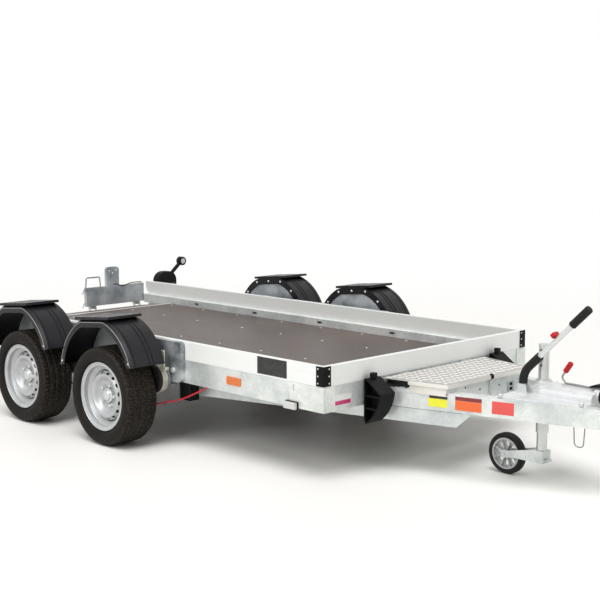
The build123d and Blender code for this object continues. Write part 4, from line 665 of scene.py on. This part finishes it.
def slotBand():
    # each slot's surround is (1 - s) border + s ellipse, s from 0 to 1, on the cone between the band's edges:
    # radius and height = middle + across (outer edge - inner edge) / 2, angle = (along + 2 k + 1) pi / slots
    perSide = wheelShape["sides"] // wheelShape["slots"]
    edge = np.linspace(-1.0, 1.0, perSide + 1)[:-1]
    v = np.concatenate([edge, np.ones(perSide), -edge, -np.ones(perSide)])
    u = np.concatenate([-np.ones(perSide), edge, np.ones(perSide), -edge])
    angle = np.arctan2(u, v)
    inner = np.stack([wheelShape["slotWide"] * np.cos(angle), wheelShape["slotLong"] * np.sin(angle)])
    s = np.linspace(0.0, 1.0, 4)[:, None]
    across, along = [(1.0 - s) * border + s * ring for border, ring in zip((v, u), inner)]
    outward, inward = np.array(wheelShape["bandOut"]), np.array(wheelShape["bandIn"])
    r, h = [(outward[i] + inward[i]) / 2 + across * (outward[i] - inward[i]) / 2 for i in (0, 1)]
    half = math.pi / wheelShape["slots"]
    turn = along[None] * half + (2 * np.arange(wheelShape["slots"])[:, None, None] + 1) * half
    points = np.stack([r * np.cos(turn), r * np.sin(turn), np.broadcast_to(h, turn.shape)], -1)
    faces = gridFaces(len(s), len(v), False, True)
    return joined([(block, faces) for block in points])


def discForm():
    edge = turnedForm(softened(discEdge, 0.003), wheelShape["sides"])
    face = turnedForm(softened(discFace, 0.006), wheelShape["sides"])
    return joined([edge, slotBand(), face])


# the parts of one wheel about its own axis, Z pointing outwards: form, finish, slot
wheelParts = {
    "rim": (ringForm(rimSection, 0.0030, 96, True), rimSilver, "rim_silver"),
    "disc": (discForm(), rimSilver, "rim_silver"),
    # the ring in the gap between disc and rim is painted shade
    "gap_shade": (ringForm(gapShadeSection, 0.0004, 96, True), drumIronAndShade, "rim_silver"),
    "drum": (ringForm(drumSection, 0.0015, 64), drumIronAndShade, "rim_silver"),
    "hub": (ringForm(hubSection, 0.0020, 40), brightSteel, "bright_steel"),
}
for axle, side, sign in corners:
    body, spin = f"wheel_{axle}_{side}", axisTurn([[0.0, sign, 0.0]])
    centre = np.array([[wheelXs[axle], sign * trailer["wheelY"], trailer["wheelZ"]]])
    for name, (form, finish, slot) in wheelParts.items():
        piece = makePiece(f"{name}_{axle}_{side}_shell", *repeated(*form, centre, spin), finish, body, slot)
        if name == "rim":
            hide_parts(f"rim_{axle}_{side}")
        if name == "disc":
            piece.modifiers.new("weld", "WELD").merge_threshold = wheelShape["weld"]
            sheet = piece.modifiers.new("sheet", "SOLIDIFY")
            sheet.thickness, sheet.offset = wheelShape["sheet"], -1.0
    turn = np.arange(wheelShape["bolts"]) * math.tau / wheelShape["bolts"] + wheelShape["boltTurn"]
    ring = wheelShape["boltCircle"] * np.stack([np.sin(turn), np.zeros(len(turn)), np.cos(turn)], -1)
    bolts(f"wheel_bolts_{axle}_{side}", centre + ring + [0.0, sign * wheelShape["face"], 0.0], (0.0, sign, 0.0),
          wheelShape["flats"], wheelShape["height"], body)
print("wheels made")


# Deck screws, rivets in the corner caps, bolts on the axle plates

deckScrews = {
    "rows": (-1.26, -0.904, -0.548, -0.104, 0.255, 0.611, 0.967, 1.322, 1.655),
    "lines": (-0.64, -0.145, 0.35, 0.70), "top": 0.4200, "radius": 0.0075, "height": 0.0022,
}
rows, lines = np.meshgrid(deckScrews["rows"], deckScrews["lines"], indexing="ij")
screwPlaces = np.stack([rows.ravel() + axleMiddle, lines.ravel(), np.full(rows.size, deckScrews["top"])], -1)
rivets("deck_screws", screwPlaces, (0.0, 0.0, 1.0), deckScrews["radius"], deckScrews["height"])

capRivets = {
    "heights": (0.480, 0.514, 0.548), "back": 0.034, "proud": 0.0034, "radius": 0.0042, "height": 0.0018,
}
capFront, capSide = trailer["frontFace"] + capRivets["proud"], trailer["halfWidth"] + capRivets["proud"]
backX, backY = trailer["frontFace"] - capRivets["back"], trailer["halfWidth"] - capRivets["back"]
sidePlaces = mirrored([atStation(backX, capSide, z) for z in capRivets["heights"]])
frontPlaces = mirrored([atStation(capFront, backY, z) for z in capRivets["heights"]])
rivets("cap_rivets_side", sidePlaces, outwards(sidePlaces), capRivets["radius"], capRivets["height"])
rivets("cap_rivets_front", frontPlaces, (1.0, 0.0, 0.0), capRivets["radius"], capRivets["height"])

plateBolts = {
    "spots": ((0.676, 0.409), (0.30, 0.520), (-0.10, 0.470), (-0.36, 0.411), (-0.36, 0.506)),  # along, up
    "face": 0.8251, "flats": 0.024, "height": 0.011,
}
platePlaces = mirrored([atStation(x, plateBolts["face"], z) for x, z in plateBolts["spots"]])
bolts("axle_plate_bolts", platePlaces, outwards(platePlaces), plateBolts["flats"], plateBolts["height"])


# Fenders: bolts on the inner lip and the feet, and a pale grey tube along the outer edge as a painted highlight

fenderShape = {
    "radius": 0.335, "up": 0.090, "back": 0.010, "top": 0.408, "base": 0.162, "tilt": 5.5,
    "innerY": 0.892, "outerY": 1.104, "lip": 0.042, "edge": 0.0155, "highlightRadius": 0.0022,
    "bolt": (0.0085, 0.0036), "footBolt": (0.0065, 0.0030),  # radius, height
}


def fenderLine(inset, count):
    # arch outline moved inwards by the inset, from the rear foot over the flat top to the front foot:
    # x = -back + r cos a, z = min(up + r sin a, top - inset), a from the foot's angle
    r = fenderShape["radius"] - inset
    foot = math.asin((fenderShape["base"] - fenderShape["up"]) / r)
    a = np.linspace(math.pi - foot, foot, count)
    z = np.minimum(fenderShape["up"] + r * np.sin(a), fenderShape["top"] - inset)
    return np.stack([-fenderShape["back"] + r * np.cos(a), z], -1)


def besideWheel(local, wheelX, y):
    # (along, up) from the hub, tilted with the arm: x = a cos k - u sin k, z = a sin k + u cos k
    tilt = math.radians(fenderShape["tilt"])
    x = wheelX + local[:, 0] * math.cos(tilt) - local[:, 1] * math.sin(tilt)
    z = trailer["wheelZ"] + local[:, 0] * math.sin(tilt) + local[:, 1] * math.cos(tilt)
    return np.stack([x, np.full(len(local), y), z], -1)


lipMiddle = fenderShape["lip"] / 2
for side, sign in sideSigns.items():
    innerY, outerY = sign * (fenderShape["innerY"] - tiny), sign * fenderShape["outerY"]
    lipSpots = [besideWheel(fenderLine(lipMiddle, 15)[1::2], x, innerY) for x in wheelXs.values()]
    rivets(f"fender_bolts_{side}", np.concatenate(lipSpots), (0.0, -sign, 0.0), *fenderShape["bolt"])
    footSpots = [besideWheel(fenderLine(lipMiddle, 40)[[1, -2]], x, outerY) for x in wheelXs.values()]
    rivets(f"fender_foot_bolts_{side}", np.concatenate(footSpots), (0.0, sign, 0.0), *fenderShape["footBolt"])
    # a pale grey tube along each fender's outer edge: painted highlight
    edge = fenderLine(fenderShape["edge"], 48)
    highlightTubes = [tubeForm(besideWheel(edge, x, outerY), fenderShape["highlightRadius"]) for x in wheelXs.values()]
    makePiece(f"fender_highlight_tubes_{side}", *joined(highlightTubes), edgeHighlightGrey, slot="black_plastic")


# Chequer pattern on the console lid: lozenges at alternate angles inside its tapered outline

console = {"rear": 1.753, "front": 2.0842, "taper": 0.2242}
lidShape = {
    "pitch": 0.0440, "rowStep": 0.92, "lineStep": 0.86, "firstRow": 1.776, "lastRow": 2.081, "halfRear": 0.388,
    "long": 0.0190, "wide": 0.0098, "height": 0.0028, "top": 0.4620, "turn": 45.0,
}


def lozengeForm():
    # x = long u, y = wide v (1 - u^2), height = h (1 - u^4)(1 - v^2)
    u, v = np.meshgrid(np.linspace(-1, 1, 7), np.linspace(-1, 1, 5), indexing="ij")
    x, y = lidShape["long"] * u, lidShape["wide"] * v * (1.0 - u ** 2)
    z = lidShape["height"] * (1.0 - u ** 4) * (1.0 - v ** 2)
    return np.stack([x, y, z], -1).reshape(-1, 3), gridFaces(7, 5)


def lidPattern():
    # lozenges on a grid, turned by plus and minus the same angle, kept where |y| < half width(x)
    i, j = np.meshgrid(np.arange(-14, 15), np.arange(0, 11), indexing="ij")
    station = lidShape["firstRow"] + j * lidShape["pitch"] * lidShape["rowStep"]
    y = i * lidShape["pitch"] * lidShape["lineStep"]
    halfWidth = lidShape["halfRear"] - (station - console["rear"]) * console["taper"]
    inside = (np.abs(y) < halfWidth) & (station < lidShape["lastRow"])
    places = np.stack([axleMiddle + station[inside], y[inside], np.full(inside.sum(), lidShape["top"])], -1)
    angle = np.radians(np.where((i + j)[inside] % 2 == 0, lidShape["turn"], -lidShape["turn"]))
    c, s, zero, one = np.cos(angle), np.sin(angle), np.zeros(len(angle)), np.ones(len(angle))
    turns = np.stack([np.stack(row, -1) for row in ([c, -s, zero], [s, c, zero], [zero, zero, one])], 1)
    return repeated(*lozengeForm(), places, turns)


makePiece("lid_chequers", *lidPattern(), lozengeAlloy, "console_lid", "chequer_plate")
print("lid pattern and fasteners made")


# Fittings made of small boxes: stays on the pivot heads, box below the sill, console latch and bracket

axleStations = (trailer["axleOffset"], -trailer["axleOffset"])
fittings = {  # boxes as x from, to, y from, to, z from, to, corner radius, with x from the axle middle
    "fender_stays": {
        "boxes": [(x + 0.244, x + 0.272, -0.874, -0.868, 0.405, 0.516, 0.0025) for x in axleStations]
        + [(x + 0.200, x + 0.284, -0.876, -0.852, 0.412, 0.428, 0.0030) for x in axleStations],
        "finish": yellowZinc, "slot": "galvanised", "both": True},
    "sill_box": {
        "boxes": [(0.668, 0.764, -0.790, -0.722, 0.248, 0.3435, 0.008)],
        "finish": fittingBlackAndShade, "slot": "black_plastic"},
    "latch": {
        "boxes": [(2.0840, 2.0900, 0.004, 0.032, 0.374, 0.438, 0.002),
                  (2.0860, 2.0960, 0.011, 0.025, 0.368, 0.420, 0.0022)],
        "finish": brightSteel, "slot": "bright_steel"},
    "latch_hook": {
        "boxes": [(2.0930, 2.0965, 0.008, 0.028, 0.444, 0.4635, 0.0015),
                  (2.0800, 2.0940, 0.013, 0.023, 0.4610, 0.4690, 0.0020)],
        "finish": fittingBlackAndShade, "slot": "black_plastic", "body": "console_lid"},
    "console_bracket": {
        "boxes": [(2.0838, 2.0890, 0.158, 0.166, 0.360, 0.410, 0.002),
                  (2.0838, 2.0890, 0.200, 0.208, 0.358, 0.408, 0.002),
                  (2.0838, 2.0860, 0.158, 0.208, 0.360, 0.408, 0.001)],
        "finish": dullZinc, "slot": "galvanised"},
    "console_bracket_eyes": {
        "boxes": [(2.0850, 2.0868, 0.171, 0.195, 0.364, 0.380, 0.0008),
                  (2.0850, 2.0868, 0.171, 0.195, 0.388, 0.404, 0.0008)],
        "finish": fittingBlackAndShade, "slot": "black_plastic"},
}
for name, fitting in fittings.items():
    form = joined([boxAt(*box) for box in fitting["boxes"]])
    form = bothSides(form) if fitting.get("both") else form
    makePiece(name, *form, fitting["finish"], fitting.get("body", "chassis"), fitting["slot"])

# small black domes on the console front, at its dark round spots
consoleDots = {
    "spots": ((-0.182, 0.428), (-0.067, 0.404), (0.089, 0.404), (-0.230, 0.395)),  # across, up
    "sunk": 0.001, "radius": 0.0052, "height": 0.0012,
}
consoleDotPlaces = [atStation(console["front"] - consoleDots["sunk"], y, z) for y, z in consoleDots["spots"]]
rivets("console_black_domes", consoleDotPlaces, (1.0, 0.0, 0.0), consoleDots["radius"], consoleDots["height"],
       fittingBlackAndShade, "black_plastic")


# Leads, console flanks, painted shade in the sill slots, and painted shadow lines under the beams

leadShape = {
    "from": 1.775, "to": 1.880, "middleY": -0.3860, "middleZ": 0.4400, "thick": 0.0030,
    "swings": (7.0, 11.0, 16.0), "wide": 0.0080, "tall": 0.0145,
}


def leadPath():
    # one lead wound back and forth: each coordinate swings by its own sine over the opening
    t = np.linspace(0.0, math.tau, 420)
    inX, inY, inZ = leadShape["swings"]
    half = (leadShape["to"] - leadShape["from"]) / 2
    x = leadShape["from"] + half + half * np.sin(inX * t)
    y = leadShape["middleY"] + console["taper"] * (x - leadShape["from"])
    y += leadShape["wide"] * np.sin(inY * t + 0.8)
    return np.stack([axleMiddle + x, y, leadShape["middleZ"] + leadShape["tall"] * np.sin(inZ * t + 0.3)], -1)


makePiece("stowed_lead", *tubeForm(leadPath(), leadShape["thick"], 7), bootRubber, slot="black_rubber")

# cream plates that hang from the console over the drawbar beams
flanks = {"from": 1.893, "to": 2.079, "rearY": 0.3972, "bottom": 0.4030, "tall": 0.0375, "thick": 0.0008}
flankLong = flanks["to"] - flanks["from"]
flankY = -flanks["rearY"] + console["taper"] * (flanks["from"] - console["rear"])
flankWay = np.array([1.0, console["taper"], 0.0])
flankForm = sheetForm(atStation(flanks["from"], flankY, flanks["bottom"]), flankLong * flankWay,
                      (0.0, 0.0, flanks["tall"]), flanks["thick"])
makePiece("console_flanks", *bothSides(flankForm), flankCream, slot="chequer_plate")

# slot in each sill, with a thin black sheet inside it as painted shade of the open slot
sillSlot = {"place": (1.542, -0.7905, 0.4530), "radius": 0.0090, "thick": 0.0009, "tall": 2.5}
slotSection = [
    (sillSlot["radius"], 0.0), (sillSlot["radius"], sillSlot["thick"] - tiny), (tiny, sillSlot["thick"])]
sideTurn = axisTurn([[0.0, -1.0, 0.0]])
slotPoints, slotFaces = repeated(*turnedForm(slotSection, 20), [(0.0, 0.0, 0.0)], sideTurn)
slotPoints = slotPoints * [1.0, 1.0, sillSlot["tall"]] + atStation(*sillSlot["place"])
makePiece("sill_slot_shade", *bothSides((slotPoints, slotFaces)), fittingBlackAndShade, slot="black_rubber")

# painted shadow line, a thin black strip, where the under rails meet the drawbar beams
railShadow = {"from": 1.752, "long": 0.395, "inset": 0.0063, "bottom": 0.3270, "tall": 0.0028, "thick": 0.0005}
railShadowStart = atStation(railShadow["from"], -beamY(railShadow["from"]) + railShadow["inset"], railShadow["bottom"])
railShadowForm = sheetForm(railShadowStart, railShadow["long"] * beamWay, (0.0, 0.0, railShadow["tall"]), railShadow["thick"])
makePiece("rail_shadow_lines", *bothSides(railShadowForm), fittingBlackAndShade, slot="black_rubber")

# lead clipped along the left flap's upper edge, straight from knot to knot
flapLead = {
    "knots": (
        (-1.6700, 0.478, 0.5600), (-1.6700, 0.505, 0.5590), (-1.6668, 0.532, 0.5480), (-1.6655, 0.556, 0.5400),
        (-1.6660, 0.590, 0.5470), (-1.6680, 0.625, 0.5560), (-1.6700, 0.690, 0.5595), (-1.6700, 0.735, 0.5560)),
    "thick": 0.0034, "steps": 60,
}
knots = np.array([atStation(*knot) for knot in flapLead["knots"]])
along = np.linspace(0, len(knots) - 1, flapLead["steps"])
flapPath = np.stack([np.interp(along, np.arange(len(knots)), column) for column in knots.T], -1)
makePiece("flap_lead", *tubeForm(flapPath, flapLead["thick"]), bootRubber, "ramp_flap_left", "black_rubber")


# Flanges and bolts of the drawbar, and the discs of the lamps on arms

flanges = {
    "box": (1.7434, 1.7495, -0.456, -0.4075, 0.262, 0.418, 0.002), "boltY": -0.431, "boltZs": (0.286, 0.396),
}
housingBolts = {"spots": ((2.316, -0.225), (2.680, -0.123)), "top": 0.4283}
frameBolt = {"flats": 0.019, "flangeHeight": 0.009, "housingHeight": 0.010}
makePiece("beam_flanges", *bothSides(boxAt(*flanges["box"])), frameZinc, slot="galvanised")
flangePlaces = mirrored([atStation(flanges["box"][1] - tiny, flanges["boltY"], z) for z in flanges["boltZs"]])
bolts("flange_bolts", flangePlaces, (1.0, 0.0, 0.0), frameBolt["flats"], frameBolt["flangeHeight"])
housingPlaces = mirrored([atStation(x, y, housingBolts["top"]) for x, y in housingBolts["spots"]])
bolts("housing_bolts", housingPlaces, (0.0, 0.0, 1.0), frameBolt["flats"], frameBolt["housingHeight"])

armLamp = {"x": -1.629, "y": 1.088, "z": 0.693, "half": 0.022, "radius": 0.020, "proud": 0.0030}
lampSection = [(armLamp["radius"], 0.0), (armLamp["radius"], 0.0016), (armLamp["radius"] * 0.8, 0.0026),
               (tiny, armLamp["proud"])]
for name, way, finish, slot in (("front", 1.0, whiteLens, "white_lens"), ("rear", -1.0, redLens, "red_lens")):
    places = mirrored([atStation(armLamp["x"] + way * armLamp["half"], armLamp["y"], armLamp["z"])])
    discs = repeated(*turnedForm(lampSection, 24), places, axisTurn([[way, 0.0, 0.0]] * 2))
    makePiece(f"arm_lamp_{name}", *discs, finish, slot=slot)
print("fittings made")


# Stickers and plates, all blank, each a thin sheet with an eased rim

def printed(name, color, roughness):
    # slightly uneven printed film
    material, tree, shader = newMaterial(name, color, roughness, 0.0, 0.5, 0.2)
    patches = ramp(tree, noise(tree, objectPoint(tree), 40.0), 0.35, 0.7)
    faded = [c * 0.9 + 0.02 for c in color]
    tree.links.new(blend(tree, patches, color, faded), shader.inputs["Base Color"])
    return material


films = {  # colour, roughness
    "stickerYellow": ((0.88, 0.86, 0.02), 0.35), "stickerOrange": ((0.86, 0.14, 0.02), 0.35),
    "stickerRed": ((0.80, 0.08, 0.07), 0.35), "stickerBlack": ((0.004, 0.004, 0.004), 0.5),
    "stickerMaroon": ((0.22, 0.012, 0.010), 0.35), "labelWhite": ((0.80, 0.80, 0.79), 0.35),
    "labelMagenta": ((0.55, 0.03, 0.16), 0.35),
}
prints = {name: printed(name, *look) for name, look in films.items()}

beamStickers = [  # name, from, to, bottom, top, film; on the right drawbar beam's outer face
    ("sticker_yellow", 1.986, 2.079, 0.348, 0.388, "stickerYellow"),
    ("sticker_yellow_head", 1.990, 2.079, 0.3885, 0.401, "stickerBlack"),
    ("sticker_orange", 2.117, 2.243, 0.344, 0.390, "stickerOrange"),
    ("sticker_orange_head", 2.117, 2.243, 0.3905, 0.409, "stickerMaroon"),
    ("sticker_red", 2.291, 2.393, 0.347, 0.406, "stickerRed"),
]
stickerShape = {"lift": 0.0004, "thick": 0.0006}
for name, x0, x1, z0, z1, film in beamStickers:
    start = atStation(x0, -beamY(x0), z0) + beamOut * stickerShape["lift"]
    form = sheetForm(start, beamWay * (x1 - x0), (0.0, 0.0, z1 - z0), stickerShape["thick"])
    makePiece(name, *form, prints[film], slot="black_plastic")

plates = [  # name, corner, across, height, thickness, rim, film
    ("name_plate", (1.289, -0.7942, 0.4725), (0.207, 0.0, 0.0), 0.0845, 0.0014, 0.003, "stickerBlack"),
    ("front_label", (1.7392, -0.778, 0.366), (0.0, 0.172, 0.0), 0.050, 0.0006, 0.002, "labelWhite"),
    ("front_label_bar", (1.7398, -0.757, 0.3685), (0.0, 0.146, 0.0), 0.020, 0.0005, 0.002, "labelMagenta"),
]
for name, corner, across, height, thickness, rim, film in plates:
    form = sheetForm(atStation(*corner), across, (0.0, 0.0, height), thickness, rim)
    makePiece(name, *form, prints[film], slot="black_plastic")
print("stickers made")


# Floor and backdrop: one sheet that sweeps up behind the trailer and turns to plain white far away

floorShape = {
    "reach": 26.0, "behind": 9.0, "bend": 3.0, "height": 9.0, "fadeFrom": 3.0, "fadeTo": 8.0, "paper": 1.0,
    "tones": ((0.945, 0.938, 0.912), (0.975, 0.968, 0.942)), "cloud": 0.35,
}


def backdropForm():
    # flat, then a quarter circle (behind + bend sin a, bend (1 - cos a)), then upright; carried along the
    # camera's horizontal
    reach, behind, bend = floorShape["reach"], floorShape["behind"], floorShape["bend"]
    arc = np.linspace(0.0, math.pi / 2, 24)[1:]
    along = np.concatenate([np.linspace(-reach, behind, 24), behind + bend * np.sin(arc), [behind + bend]])
    up = np.concatenate([np.zeros(24), bend * (1 - np.cos(arc)), [floorShape["height"]]])
    side = np.linspace(-reach, reach, 12)
    heading = math.radians(90.0 + view["turn"])
    forward = np.array([math.cos(heading), math.sin(heading), 0.0])
    across = np.array([math.sin(heading), -math.cos(heading), 0.0])
    points = along[:, None, None] * forward + side[None, :, None] * across + up[:, None, None] * [0.0, 0.0, 1.0]
    return points.reshape(-1, 3) + [axleMiddle, 0.0, 0.0], gridFaces(len(along), len(side))[:, ::-1]


floorPaint, floorTree, floorShader = newMaterial("floorPaint", floorShape["tones"][0], 0.45, 0.0, 0.3)
floorPoint = objectPoint(floorTree)
floorTone = blend(floorTree, noise(floorTree, floorPoint, floorShape["cloud"], 3.0), *floorShape["tones"])
floorTree.links.new(floorTone, floorShader.inputs["Base Color"])
farAway = put(floorTree, "VectorMath", {1: (axleMiddle, 0.0, 0.0)}, {0: floorPoint}, operation="DISTANCE")
fade = ramp(floorTree, farAway.outputs["Value"], floorShape["fadeFrom"], floorShape["fadeTo"])
whiteOut = put(floorTree, "Math", links={0: fade, 1: seenDirectly(floorTree)}, operation="MULTIPLY")
paper = put(floorTree, "Emission", {"Color": (1.0, 1.0, 1.0, 1.0), "Strength": floorShape["paper"]})
floorLinks = {0: whiteOut.outputs[0], 1: floorShader.outputs[0], 2: paper.outputs[0]}
floorMix = put(floorTree, "MixShader", links=floorLinks)
floorTree.links.new(floorMix.outputs[0], floorTree.nodes["Material Output"].inputs["Surface"])
floor = meshObject("floor", *backdropForm(), floorPaint)
print("stage made")
